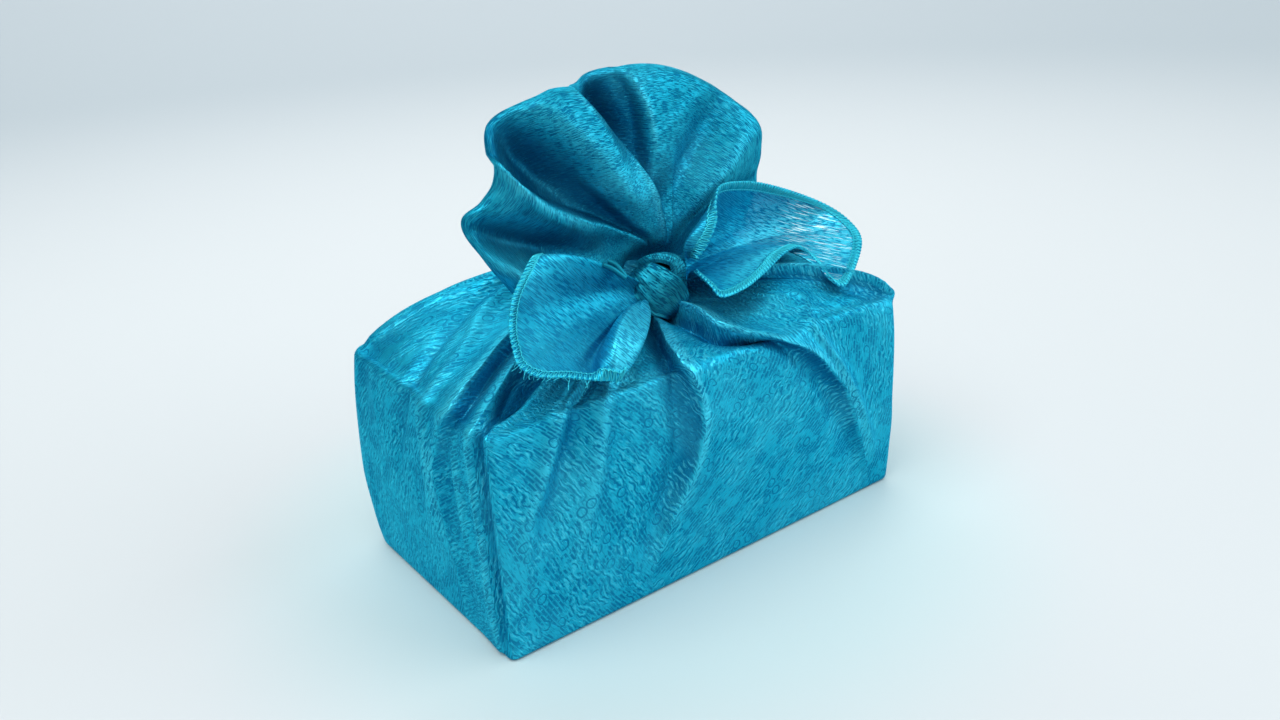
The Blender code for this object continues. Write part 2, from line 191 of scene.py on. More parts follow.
# A fold runs from the knot over the rim and down a wall. Its track gives, at steps of the path,
# the wall's own x or y, the height and, for a lip, the depth of the hollow beside it. A lip is
# cloth that overlaps its neighbour, on its positive or negative side along the wall's walk, and
# softens on the wall. A crease is a lip that stays sharp there
Fold = namedtuple("Fold", "wall kind width side track")
FOLDS = [
    Fold("front", "lip", 20.0, 1, [
        (0.12, -30, 0, 0), (0.3, -30, 2.5, 4), (0.5, -23, 4, 5), (0.8, -20, 5, 4),
        (1.0, -17, 5, 4), (1.15, -13, 5, 5.4), (1.3, -12, 5, 5.6), (1.42, -14, 4.4, 5.2),
        (1.55, -20, 3.4, 4.4), (1.68, -28, 2, 2.6), (1.9, -38, 0, 0)]),
    Fold("front", "soft", 5.0, 0, [
        (0.45, -50, 0), (0.8, -50, 1.8), (1.0, -52, 2.4), (1.15, -55, 2.8), (1.4, -60, 2.6),
        (1.6, -68, 1.8), (1.85, -76, 0)]),
    Fold("front", "soft", 5.0, 0, [
        (0.45, -62, 0), (0.9, -60, -2), (1.1, -64, -2.8), (1.25, -70, -2.8), (1.4, -76, -2),
        (1.65, -84, 0)]),
    Fold("front", "soft", 4.2, 0, [
        (0.5, -70, 0), (0.95, -66, 1.8), (1.06, -72, 2.6), (1.25, -80, 2.6), (1.4, -87, 1.8),
        (1.6, -91, 0.8), (1.8, -93, 0)]),
    Fold("front", "lip", 8.0, 1, [
        (0.12, -2, 0, 0), (0.34, -1, 4, 6), (0.64, 7, 6, 7), (0.86, 8, 6, 6), (0.96, 15, 5.6, 5),
        (1.0, 22, 5, 5), (1.04, 30, 5, 5), (1.1, 41, 5, 5), (1.18, 50, 5, 5.4),
        (1.36, 65, 4.4, 5.6), (1.5, 71, 3.6, 5), (1.7, 79, 2, 3), (1.92, 86, 0, 0)]),
    Fold("front", "soft", 2.6, 0, [
        (0.6, 72, 0), (0.85, 64, 1.6), (1.0, 50, 2.2), (1.06, 51, 2.2), (1.25, 63, 2.4),
        (1.48, 75, 2.2), (1.65, 83, 1.6), (1.88, 90, 0)]),
    Fold("front", "soft", 6.0, 0, [(0.6, 84, 0), (0.92, 88, -2.4), (1.0, 90, -2), (1.1, 93, 0)]),
    Fold("right", "lip", 16.0, 1, [
        (0.2, -54, 0, 0), (0.5, -55, 4, 2), (0.9, -56, 5, 2), (1.0, -56, 3.5, 1),
        (1.08, -56, 0, 0)]),
    Fold("right", "soft", 6.0, 0, [
        (0.25, -36, 0), (0.6, -36, -2.2), (1.0, -36, -2.6), (1.3, -40, -2.4), (1.6, -45, 0)]),
    Fold("right", "soft", 7.0, 0, [
        (0.25, -14, 0), (0.6, -14, 2.4), (1.0, -14, 2.8), (1.4, -20, 2.6), (1.75, -24, 0)]),
    Fold("right", "soft", 8.0, 0, [
        (0.25, 14, 0), (0.6, 14, -2), (1.0, 14, -2.4), (1.4, 12, -2.2), (1.7, 14, 0)]),
    Fold("right", "soft", 7.0, 0, [
        (0.25, 36, 0), (0.6, 36, 2.2), (1.0, 36, 2.6), (1.4, 38, 2.4), (1.7, 42, 0)]),
    Fold("back", "lip", 16.0, -1, [
        (0.25, 66, 0, 0), (0.6, 66, 3.2, 2), (1.0, 66, 3.6, 3), (1.4, 74, 3.4, 3),
        (1.6, 80, 2.2, 2), (1.8, 84, 0, 0)]),
    Fold("back", "soft", 10.0, 0, [
        (0.25, 34, 0), (0.6, 34, -2.4), (1.0, 34, -2.8), (1.4, 38, -2.6), (1.75, 46, 0)]),
    Fold("back", "soft", 9.0, 0, [
        (0.25, 4, 0), (0.6, 4, 2.6), (1.0, 4, 3), (1.4, 4, 2.8), (1.7, 2, 0)]),
    Fold("back", "lip", 18.0, 1, [
        (0.25, -36, 0, 0), (0.6, -36, 3, 2), (1.0, -36, 3.4, 3), (1.4, -44, 3.2, 3),
        (1.65, -52, 2, 2), (1.85, -56, 0, 0)]),
    Fold("back", "soft", 9.0, 0, [
        (0.3, -74, 0), (0.7, -74, 2), (1.0, -74, 2.2), (1.4, -80, 1.8), (1.7, -86, 0)]),
    Fold("left", "soft", 9.0, 0, [
        (0.4, 44, 0), (0.8, 42, -1.6), (1.0, 41, -2), (1.3, 43, -1.8), (1.6, 45, 0)]),
    Fold("left", "soft", 3.4, 0, [
        (0.35, 52, 0), (0.52, 47, -1.4), (0.77, 17, -2), (0.91, 7, -2.2), (1.0, 1, -2.4),
        (1.15, 6, -2.8), (1.3, 12, -2), (1.5, 16, 0)]),
    Fold("left", "soft", 4.4, 0, [
        (0.35, 50, 0), (0.56, 34, 1.4), (0.79, -3, 2), (0.95, -13, 2.2), (1.1, -14, 2.8),
        (1.3, -15, 3), (1.5, -13, 2.4), (1.78, -16, 0)]),
    Fold("left", "lip", 12.0, -1, [
        (0.2, 10, 0, 0), (0.4, -2, 3.4, 1), (0.56, -13, 4.6, 2), (0.7, -21.5, 5, 3),
        (0.82, -27.6, 5, 3), (0.93, -32.6, 5, 3), (1.0, -34, 4.6, 3), (1.07, -30, 3.6, 3),
        (1.16, -24, 2.6, 3), (1.3, -20, 2.0, 2.6), (1.5, -20, 1.6, 2), (1.8, -24, 0, 0)]),
    Fold("left", "soft", 3.4, 0, [
        (1.04, -33, 0), (1.14, -34, 2), (1.3, -37, 2.6), (1.5, -39, 2.2), (1.7, -41, 1.2),
        (1.88, -42, 0)]),
    Fold("left", "crease", 12.0, -1, [
        (0.25, -8, 0, 0), (0.4, -16, 3, 1), (0.57, -25.6, 4.4, 2), (0.73, -35.7, 4.8, 2),
        (0.85, -42.8, 4.8, 2), (0.95, -48.4, 4.6, 2.6), (1.0, -50, 4.2, 3.2),
        (1.1, -50, 3.8, 3.2), (1.4, -50.5, 3.4, 3.2), (1.8, -51, 3, 3), (1.97, -51, 1, 1)]),
    Fold("left", "soft", 7.0, 0, [
        (0.35, -40, 0), (0.55, -44, -5), (0.75, -51, -8), (0.88, -54, -8), (0.97, -56, 0)]),
]

# The threads' angle in each panel of a wall, from its first corner over its lips to its last one
THREAD_TURNS = {
    "front": (52.0, -36.0, -62.0),
    "right": (-20.0, -80.0),
    "back": (-70.0, -15.0, -40.0),
    "left": (-62.0, -35.0, -80.0),
}

# The fan's outline, as the distance from its centre at each angle from +X
FAN_RIM = np.array([
    (6, 66), (20, 79), (34, 91), (45, 90), (60, 87), (78, 86), (94, 85), (103, 83), (112, 87),
    (129, 90), (139, 80), (146, 79), (153, 82), (162, 72), (172, 60), (179, 55),
])

# A pleat's track gives its angle and its depth towards the front, at shares of the fan's reach
Pleat = namedtuple("Pleat", "kind width side track")
PLEATS = [
    Pleat("soft", 9.0, 0, [(0, 16, 0), (0.4, 14, -3), (0.7, 12, -5), (1, 11, -2)]),
    Pleat("soft", 4.0, 0, [
        (0.1, 30, 0), (0.3, 27, -2), (0.6, 24, -4), (0.85, 22, -3), (1, 22, -1)]),
    Pleat("soft", 9.0, 0, [
        (0, 30, 0), (0.15, 40, 3), (0.4, 42, 5), (0.6, 38, 6), (0.8, 36, 5), (1, 35, 2)]),
    Pleat("soft", 10.0, 0, [
        (0.2, 52, 0), (0.4, 56, -4), (0.6, 54, -6), (0.8, 52, -5), (1, 50, -2)]),
    Pleat("lip", 8.0, 1, [
        (0.02, 44, 0), (0.1, 52, 3), (0.2, 56, 4), (0.32, 59, 3.6), (0.45, 63, 2), (0.6, 68, 0)]),
    Pleat("lip", 24.0, -1, [
        (0.3, 82, 0), (0.42, 83, 4), (0.55, 83, 7), (0.68, 84, 8), (0.8, 86, 8), (0.93, 89, 6),
        (1, 91, 3)]),
    Pleat("soft", 6.0, 0, [
        (0.4, 90, 0), (0.55, 91, -6), (0.7, 94, -13), (0.85, 97, -13), (1, 98, -4)]),
    Pleat("lip", 20.0, 1, [
        (0.03, 58, 0), (0.1, 66, 4), (0.2, 74, 7), (0.3, 80, 9), (0.4, 85, 11), (0.55, 91, 12),
        (0.68, 96, 12), (0.8, 100, 10), (0.92, 104, 6), (1, 106, 3)]),
    Pleat("soft", 8.0, 0, [
        (0.08, 84, 0), (0.18, 96, 2), (0.45, 108, 4), (0.7, 113, 5), (0.9, 116, 4), (1, 117, 2)]),
    Pleat("lip", 10.0, -1, [
        (0.05, 78, 0), (0.12, 89, 4), (0.22, 104, 5), (0.34, 112, 5), (0.5, 117, 3),
        (0.62, 119, 0)]),
    Pleat("soft", 9.0, 0, [
        (0.1, 98, 0), (0.2, 112, -5), (0.42, 125, -11), (0.6, 128, -15), (0.78, 129, -14),
        (1, 128, -4)]),
    Pleat("lip", 14.0, 1, [
        (0.05, 84, 0), (0.12, 96, 4), (0.22, 116, 8), (0.37, 129, 11), (0.5, 133, 12),
        (0.66, 136, 12), (0.88, 137, 11), (1, 135, 5)]),
    Pleat("soft", 8.0, 0, [
        (0.1, 126, 0), (0.3, 147, -5), (0.52, 153, -11), (0.8, 155, -9), (1, 155, -3)]),
    Pleat("soft", 10.0, 0, [
        (0.1, 160, 0), (0.4, 173, 5), (0.7, 171, 9), (0.85, 167, 8), (1, 163, 4)]),
]

# Each ray of a tail leaves the knot, passes its belly point and ends on the hem, and its row holds
# those two points. The rays start on an arc round the tail's neck, in the plane across X, at
# angles from the back over the top. Hem is the stretch of the rays' ends that shows the overlocked
# hem, and the list before the rays gives painted highlight and shade from ray to ray
Tail = namedtuple("Tail", "neck first last hem lay rays")
LEFT_TAIL = Tail((-5.0, -19.0, 107.0), 60.0, -130.0, (0.06, 0.82), [
    0, -0.1, 0.2, 0.2, 0, -0.2, -0.4, -0.5, -0.6, -1.2, -0.6, 0.6, 1, 1, 1, 0.6], [
    (-30, -20, 123, -52, -22, 131), (-37, -27, 130, -60, -30, 136),
    (-42, -28, 126, -68, -36, 133), (-44, -27, 119, -76, -42, 128),
    (-47, -29, 115, -81, -47, 121), (-49, -33, 111, -84, -53, 116),
    (-50, -37, 108, -85, -58, 111), (-48, -40, 106, -80, -61, 107),
    (-43, -40, 104, -70, -62, 104), (-37, -38, 102, -62, -63, 101),
    (-41, -48, 110, -58, -64, 100), (-41, -54, 114, -54, -65, 99),
    (-36, -54, 111, -52, -65, 98), (-27, -50, 108, -43, -62, 101),
    (-21, -43, 107, -32, -53, 102), (-18, -34, 109, -25, -44, 102),
])
RIGHT_TAIL = Tail((18.0, -14.0, 109.0), 150.0, -170.0, (0.0, 1.0), [
    0.4, 0.4, 0.2, -0.3, -0.6, -0.5, -0.2, 0.3, 0.6, 0.7, 0.8, 0.6, 0.8, 1, 1, 0.8, 0.8, 0.8, 0.6,
    0.2, 0, 0], [
    (19, -18, 115, 18, -24, 116), (17, -20, 121, 22, -26, 122),
    (18, -20, 125, 27, -26, 130), (26, -16, 127, 29, -24, 138),
    (33, -12, 126, 35, -20, 142), (41, -8, 124, 50, -14, 140),
    (52, -5, 121, 69, -9, 135), (62, -4, 117, 92, -8, 126),
    (70, -4, 114, 106, -14, 118), (74, -6, 110, 107, -26, 112),
    (75, -8, 109, 101, -36, 108), (72, -10, 108, 89, -44, 102),
    (67, -12, 109, 75, -51, 98), (62, -15, 110, 71, -48, 100),
    (56, -18, 112, 79, -31, 104), (51, -20, 112, 72, -28, 110),
    (44, -23, 112, 60, -31, 111), (37, -26, 111, 41, -38, 108),
    (29, -28, 111, 25, -44, 107), (21, -30, 110, 11, -47, 108),
    (16, -30, 111, 9, -43, 112), (14, -26, 113, 10, -34, 115),
])

# A band of the knot follows its path over the knot. Its points are steps to the right, up and
# towards the viewer from the knot's heart, and each also has half the band's width there. The band
# faces away from a point that lies behind the heart by depth. Crown is how far its middle stands
# out, curl how far its edges turn in, turn its threads' angle and flat its cut size in metres
KNOT_HEART = np.array([3.0, -17.0, 105.5])
Band = namedtuple("Band", "name crown curl folds depth turn flat path")
BANDS = [
    Band("knot_front", 0.9, 2.2, 0.3, 26.0, 90.0, (0.021, 0.036), [
        (-8.6, 8.2, -6.0, 5.4), (-7.6, 6.8, 2.2, 6.6), (-5.2, 4.4, 4.6, 7.9),
        (-2.2, 1.6, 5.4, 9.2), (1.0, -1.4, 5.8, 9.8), (4.8, -4.0, 5.4, 9.3),
        (8.0, -7.2, 3.6, 6.9), (9.0, -9.0, -3.0, 4.8)]),
    Band("knot_top", 1.2, 1.2, 0.5, 6.0, 20.0, (0.014, 0.036), [
        (-7.4, 10.8, -2.0, 1.4), (-4.0, 12.6, 0.4, 2.4), (0.4, 13.5, 1.6, 3.3),
        (4.6, 13.0, 2.6, 4.2), (7.8, 11.2, 3.2, 4.2), (9.2, 7.6, 2.8, 4.2),
        (9.0, 3.6, 1.0, 3.8), (7.6, 0.0, -2.0, 3.0)]),
    Band("knot_back", 3.0, 2.0, 0.6, 4.0, 30.0, (0.020, 0.044), [
        (9.0, -4.0, -8.0, 5.0), (9.0, 2.0, -9.0, 7.0), (6.0, 8.0, -12.0, 8.5),
        (-1.0, 9.0, -12.0, 8.0), (-7.0, 4.0, -9.0, 6.5), (-9.0, -3.0, -5.0, 5.0)]),
]

# The bands' fine folds across and along them and the size of their lumps, where from the middle to
# the edge a band begins to curl, and how far round its edges come
BAND_WAVES = (14.0, 4.0)
KNOT_LUMPS = 5.0
CURL_BEGINS = 0.8
BAND_ROUND = 0.92

# The rolled bit of hem that shows beside the knot, as two strands
HEM_ROLLS = [
    [(-27, -24, 124.5), (-24, -26, 122.5), (-22, -27, 120.5), (-20, -28, 118.5)],
    [(-23, -22, 124.5), (-21, -24, 123), (-20, -26, 120.5), (-19, -27, 118.5)],
]
ROLL_RADIUS = 1.1

# The camera, fitted to the box's corners
CAMERA_PLACE = Vector((-0.2379, -0.3347, 0.2412))
CAMERA_AZIMUTH = -35.97
CAMERA_ELEVATION = 22.54
CAMERA_ROLL = -3.28
CAMERA_LENS = 29.66

# The floor's size, how much of each colour channel it keeps in the distance, a painted falloff of
# the light, and close to the cloth, a painted teal shadow and bounce light, and the stretches of
# metres over which each change comes
FLOOR_SIZE = 24.0
FLOOR_PAINTED_FALLOFF = (0.64, 0.70, 0.74, 1.0)
FLOOR_PAINTED_TEAL_SHADOW = (0.88, 1.04, 1.04, 1.0)
FALLOFF_REACH = (0.35, 1.8)
TEAL_SHADOW_REACH = (0.11, 0.2)

# Each light's way from the cloth, its power and its colour, and the soft spread of them all
LIGHTS = {
    "top_light": ((-0.45, -0.15, 1.0), 2.6, (1.0, 0.99, 0.97)),
    "back_light": ((0.5, 0.8, 0.7), 0.9, (0.97, 0.99, 1.0)),
    "right_light": ((0.9, -0.7, 0.5), 1.6, (0.96, 0.98, 1.0)),
}
LIGHT_SPREAD = 60.0

# The sky that lights the cloth, and the paler one behind the floor's far edge
SKY_COLOUR = (0.86, 0.93, 0.97, 1.0)
SKY_STRENGTH = 0.42
SKY_SEEN = (0.56, 0.65, 0.71, 1.0)

# Each material's share of woven figures over the slubs, and its brightness: painted shade on the
# knot and the fan, painted light on the tails and hems
SATINS = {
    "figured_satin": (0.9, 1.08), "plain_satin_painted_light": (0.2, 1.18), "fan_satin_painted_shade": (0.2, 0.9),
    "knot_satin_painted_shade": (0.0, 0.54), "sheer_satin_painted_light": (0.2, 1.16), "overlock_thread": (0.0, 1.0),
}

# The sizes of what the satin's noises draw, in millimetres along and across the threads: patches
# of one kind of figure, how dense the marks are, slubs, threads, breaks in the lines, the drift of
# the cloud lines, cells that hold a ring, broad changes of tone, and the painted backlit streaks of
# the sheer tail
WEAVE = {
    "region": (17.0, 13.0), "density": (9.0, 5.0), "slub": (3.2, 0.42), "thread": (1.6, 0.20),
    "break": (3.4, 1.6), "drift": (7.0, 4.2), "cell": (5.6, 5.0), "tone": (40.0, 30.0),
    "backlit_streak": (11.0, 0.45),
}

# The cloud lines' pitch in millimetres and their drift in pitches, the woven bars, the share of
# cells with a ring, where along the sheer tail its painted backlit streaks begin and their colour,
# and the satin's relief and gloss
CLOUD_PITCH = 2.1
CLOUD_DRIFT = 2.4
BARS = {"Mortar Size": 0.38, "Mortar Smooth": 0.3, "Brick Width": 4.6, "Row Height": 1.5}
BAR_OFFSET = 0.37
RING_SHARE = (0.20, 0.22)
BACKLIGHT_STREAKS_BEGIN = (26.0, 36.0)
PAINTED_BACKLIGHT_COLOUR = (0.66, 0.95, 1.0, 1.0)
RELIEF = {"Strength": 0.9, "Distance": 0.00028}
GLOSS = {"Metallic": 0.85, "Specular IOR Level": 0.25, "Specular Tint": (0.2, 0.9, 1.0, 1.0)}


def smooth(low, high, value):
    """Go from 0 to 1 between low and high."""
    part = np.clip((value - low) / (high - low), 0.0, 1.0)
    return part * part * (3.0 - 2.0 * part)


def curve(values, place):
    """Read rows of values from a smooth curve through them, where place runs from 0 to 1."""
    values = np.asarray(values, float)
    place = np.asarray(place, float)
    spans = len(values) - 1
    index = np.clip((place * spans).astype(int), 0, spans - 1)
    share = place * spans - index
    if values.ndim > 1:
        share = share[..., None]
    before, here = values[np.maximum(index - 1, 0)], values[index]
    there, after = values[index + 1], values[np.minimum(index + 2, spans)]
    leave, arrive = (there - before) / 2, (after - here) / 2
    return (here * (1 - 3 * share ** 2 + 2 * share ** 3) + there * (3 * share ** 2 - 2 * share ** 3)
            + leave * (share - 2 * share ** 2 + share ** 3) + arrive * (share ** 3 - share ** 2))


def waves(first, second, size, seed):
    """A smooth random field from -1 to 1 over two coordinates, with lumps of the given size."""
    draws = np.random.default_rng(seed)
    total = np.zeros(np.broadcast(first, second).shape)
    count = 9
    for _ in range(count):
        turn, phase = draws.uniform(0, 2 * math.pi, 2)
        pitch = 2 * math.pi / (size * draws.uniform(0.7, 1.8))
        total += np.sin((first * math.cos(turn) + second * math.sin(turn)) * pitch + phase)
    return total / (count / 2)


def profile(kind, distance, width, side, height, hollow=0.0, step=LIP_STEP):
    """The height across a fold's run. A lip rises over a step beside a hollow, then falls away."""
    if kind == "soft":
        return height * np.exp(-(distance / width) ** 2)
    ahead = distance * side
    soft = min((step - LIP_STEP) / (WALL_STEP - LIP_STEP), 1.0)
    ramp = np.clip((ahead + step) / (step * (1.5 - 0.5 * soft)), 0.0, 1.0)
    rise = (1 - soft) * smooth(0.0, 1.0, ramp) + soft * ramp ** WALL_SLOPE
    reach = CREASE_HOLLOW if kind == "crease" else LIP_HOLLOW
    dip = (1 - rise) * np.exp(-(ahead / reach) ** 2)
    return height * rise * np.exp(-(np.maximum(ahead, 0.0) / width) ** LIP_FALL) - hollow * dip


def shine(kind, distance, width, side, height):
    """The painted highlight on a fold's crest, and the painted shade beside it."""
    if kind == "soft":
        return height * np.exp(-(distance / width) ** 2)
    ahead = distance * side
    reach = CREASE_HOLLOW if kind == "crease" else PAINTED_SHADE_REACH
    under = np.exp(-(np.minimum(ahead, 0.0) / reach) ** 2) * (1 - smooth(*PAINTED_SHADE_EDGE, ahead))
    return height * (np.exp(-((ahead - PAINTED_HIGHLIGHT_WIDTH) / PAINTED_HIGHLIGHT_WIDTH) ** 2) - PAINTED_SHADE_DEPTH * under)


def unit(vectors):
    """Vectors of length 1 along the given ones."""
    return vectors / np.linalg.norm(vectors, axis=-1, keepdims=True)


def walked(steps):
    """The distances walked after each step, from 0."""
    return np.concatenate([[0.0], np.cumsum(steps)])


def strides(points, axis):
    """The distances between neighbours in a grid of points."""
    return np.linalg.norm(np.diff(points, axis=axis), axis=-1)


def wall_starts():
    """The place of each wall's first corner, as a distance round the rim."""
    starts, total = {}, 0.0
    for name, wall in WALLS.items():
        starts[name] = total
        total += wall.length
    return starts


def on_wall(name, places):
    """Which places round the rim lie on a wall."""
    return (places >= STARTS[name]) & (places < STARTS[name] + WALLS[name].length)


STARTS = wall_starts()
NAMES = list(WALLS)
RADIUS = {corner.wall: corner.radius for corner in CORNERS}


def wall_place(name, coordinate):
    """Turn a wall's own x or y into a distance along its walk."""
    wall = WALLS[name]
    axis = 0 if wall.along[0] else 1
    return (coordinate - wall.start[axis]) * wall.along[axis]


def corner_values(place):
    """The swell and the tent's rise at distances round the rim."""
    places, swells, rises = [], [], []
    for corner in CORNERS:
        start = STARTS[corner.wall]
        places += [start, start + WALLS[corner.wall].length / 2]
        swells += [corner.swell, corner.swell_mid]
        rises += [corner.rise, corner.rise_mid]
    places.append(ROUND)
    return (np.interp(place, places, swells + swells[:1]),
            np.interp(place, places, rises + rises[:1]))


def outline(name, place, inset):
    """Points of the box's rounded outline, and the ways out of it."""
    wall = WALLS[name]
    index = NAMES.index(name)
    following, before = NAMES[(index + 1) % 4], NAMES[index - 1]
    start, step, out = (np.array(part, float) for part in (wall.start, wall.along, wall.out))
    place, inset = np.broadcast_arrays(place, inset)
    points = start + step * place[..., None] - out * inset[..., None]
    ways = np.broadcast_to(out, points.shape).copy()
    ends = ((place, RADIUS[name], before, 0.0),
            (wall.length - place, RADIUS[following], following, wall.length))
    for distance, bend, neighbour, corner in ends:
        other = np.array(WALLS[neighbour].out, float)
        turn = math.radians(45) * (1 - distance / bend)
        way = out * np.cos(turn)[..., None] + other * np.sin(turn)[..., None]
        centre = start + step * corner - (out + other) * bend
        near = (distance < bend)[..., None]
        points = np.where(near, centre + way * (bend - inset)[..., None], points)
        ways = np.where(near, way, ways)
    return points, ways


def follow(track, path):
    """Read a track's values at steps of a path, with its corners rounded."""
    fine = np.arange(-0.2, 2.4, TRACK_STEP)
    places = [row[0] for row in track]
    reach = np.arange(-3, 3.01, 1) * TRACK_STEP * 2
    weights = np.exp(-(reach / (TRACK_STEP * 3)) ** 2)
    values = []
    for index in range(1, len(track[0])):
        line = np.interp(fine, places, [row[index] for row in track])
        soft = sum(weight * np.interp(fine + shift, fine, line)
                   for weight, shift in zip(weights, reach))
        values.append(np.interp(path, fine, soft / weights.sum()))
    return values


def fold_place(fold, path=1.0):
    """How far along its wall a fold is at one step of the path."""
    return wall_place(fold.wall, float(follow(fold.track, path)[0]))


def lips(name):
    """The lips and creases of a wall."""
    return [fold for fold in FOLDS if fold.wall == name and fold.kind != "soft"]


def lean(name, place, path):
    """The places along a wall that the columns have reached at one step of the path."""
    tops = [0.0] + [fold_place(fold) for fold in lips(name)]
    nows = [0.0] + [fold_place(fold, path) for fold in lips(name)]
    order = np.append(np.argsort(tops), len(tops))
    length = WALLS[name].length
    tops, nows = np.array(tops + [length]), np.array(nows + [length])
    return np.interp(place, tops[order], np.maximum.accumulate(nows[order]))


def fold_field(here, path):
    """How far the folds raise the cloth and push it sideways, and their painted highlight and
    shade, at one step of the path.
    """
    height, shift, lay = (np.zeros(here.shape) for _ in range(3))
    near = NECK_PACKING + (1 - NECK_PACKING) * min(path, 1.0)
    wide = LIP_STEP + (WALL_STEP - LIP_STEP) * float(smooth(*LIPS_WIDEN, path))
    over = LIP_OVERHANG * (1 - float(smooth(*OVERHANG_ENDS, path)))
    for fold in FOLDS:
        if path < fold.track[0][0] or path > fold.track[-1][0]:
            continue
        place, strength, *hollow = follow(fold.track, path)
        offset = here - STARTS[fold.wall] - wall_place(fold.wall, place)
        offset = ((offset + ROUND / 2) % ROUND - ROUND / 2) * near
        step = LIP_STEP if fold.kind == "crease" else wide
        height += profile(fold.kind, offset, fold.width, fold.side, strength, *hollow, step=step)
        lay += shine(fold.kind, offset, fold.width, fold.side, strength) / FOLD_FULL
        if fold.kind != "soft":
            crest = np.exp(-((offset * fold.side - step / 2) / step) ** 2)
            shift -= over * fold.side * strength / FOLD_FULL * crest
    return height, shift, lay


def wall_section(drop):
    """The level, inset and tilt of a wall. It turns over the rim to 0.5 and under from 1.5."""
    top = HEIGHT - RIM_RADIUS
    if drop < 0.5:
        turn = math.pi * drop
        return top + RIM_RADIUS * math.cos(turn), RIM_RADIUS * (1 - math.sin(turn)), 0.5 + drop
    if drop < 1.5:
        return top + (FOOT_RADIUS - top) * (drop - 0.5), 0.0, 1.0
    turn = math.pi * (drop - 1.5)
    return FOOT_RADIUS * (1 - math.sin(turn)), FOOT_RADIUS * (1 - math.cos(turn)), 1.0


def wrap_row(places, path):
    """One row of the wrap, as x, y, z and painted highlight and shade, at one step of the path."""
    row = np.zeros((len(places), 4))
    swells, rises = corner_values(places)
    leant = places.copy()
    for name in NAMES:
        mine = on_wall(name, places)
        leant[mine] = STARTS[name] + lean(name, places[mine] - STARTS[name], min(path, 2.0))
    # The fourth column holds the folds' painted highlight and shade
    heights, shifts, row[:, 3] = fold_field(leant, path)
    # Painted shade on the gathered cloth near the neck
    row[:, 3] -= NECK_PAINTED_SHADE * (1 - smooth(*NECK_SHADE_ENDS, path))
    fade = float(smooth(*WRINKLES_BEGIN, path) * (1 - smooth(*WRINKLES_END, path)))
    out = np.full(len(places), path * PATH_LENGTH)
    heights = heights + WRINKLE * fade * waves(leant, out, WRAP_LUMPS, SEEDS["wrap"])
    for name, wall in WALLS.items():
        mine = on_wall(name, places)
        height, swell, rise = heights[mine], swells[mine], rises[mine]
        here = np.clip(leant[mine] - STARTS[name] + shifts[mine], 0.0, wall.length)
        if path <= 1.0:
            edge, way = outline(name, here, RIM_RADIUS)
            flat = NECK + (edge - NECK) * path
            share = min((1 - path) / TENT_REACH, 1.0)
            level = HEIGHT + rise * math.sin(math.pi / 2 * share ** TENT_CURVE)
            tilt = 0.5 * float(smooth(TILT_BEGINS, 1.0, path))
        elif path <= 2.0:
            drop = np.interp(path, (1.0, WALL_TOP, WALL_FOOT, 2.0), (0.0, 0.5, 1.5, 2.0))
            level, inset, tilt = wall_section(float(drop))
            edge, way = outline(name, here, 0.0)
            bulge = swell * math.sin(math.pi * min(level / HEIGHT, 1.0)) ** SWELL_CURVE
            flat = edge + way * (bulge - inset)[:, None]
        else:
            edge, way = outline(name, here, FOOT_RADIUS)
            flat = edge * (3.0 - path)
            level, tilt = 0.0, 1.0
        row[mine, :2] = flat + way * (height * math.sin(tilt * math.pi / 2))[:, None]
        if path < 2.0:
            level = level + height * math.cos(tilt * math.pi / 2)
        row[mine, 2] = np.maximum(level, 0.0)
    return row


def wrap_places():
    """The mesh's columns round the rim, closer together at the lips and the corners."""
    step = 0.1
    fine = np.arange(0.0, ROUND, step)
    spacing = np.zeros(fine.shape)
    for name, wall in WALLS.items():
        spacing[on_wall(name, fine)] = wall.spacing
    marks = [(start, RADIUS[name]) for name, start in STARTS.items()] + [(ROUND, RADIUS["front"])]
    marks += [(STARTS[name] + fold_place(fold), LIP_REACH) for name in NAMES for fold in lips(name)]
    for mark, reach in marks:
        close = np.abs(fine - mark) < reach
        spacing[close] = np.minimum(spacing[close], CLOSE_SPACING)
    count = walked(step / spacing)
    steps = int(count[-1])
    return np.interp(np.linspace(0, count[-1], steps + 1)[:-1], count, np.append(fine, ROUND))


def wrap_edges():
    """Where the threads change their way, at walls' starts and lips, and their angle from there."""
    edges = []
    for name, turns in THREAD_TURNS.items():
        starts = [0.0] + sorted(fold_place(fold) for fold in lips(name))
        edges += [(STARTS[name] + start, turn) for start, turn in zip(starts, turns)]
    return edges


def wrap_paths():
    """The steps of the path at which the mesh has its rows."""
    return np.concatenate([
        [0.0], np.linspace(0.05, 0.97, 36), np.linspace(1.0, WALL_TOP, 6),
        np.linspace(WALL_TOP, WALL_FOOT, 46)[1:], np.linspace(WALL_FOOT, 2.0, 5)[1:],
        [2.3, 2.65, 3.0],
    ])


def fan_depth(angle, share, radius):
    """How far pleats bring the fan forward, and their painted highlight and shade, at an angle and
    a share of its reach.
    """
    depth, lay = np.zeros(angle.shape), np.zeros(angle.shape)
    for pleat in PLEATS:
        middle, strength = follow(pleat.track, share)
        begun = smooth(pleat.track[0][0] - 0.05, pleat.track[0][0] + 0.02, share)
        offset = np.radians(angle - middle) * radius
        depth += begun * profile(pleat.kind, offset, pleat.width, pleat.side, strength)
        # Painted highlight on the pleats' crests and painted shade beside them
        lay += begun * shine(pleat.kind, offset, pleat.width, pleat.side, strength) / PLEAT_FULL
    return depth, lay


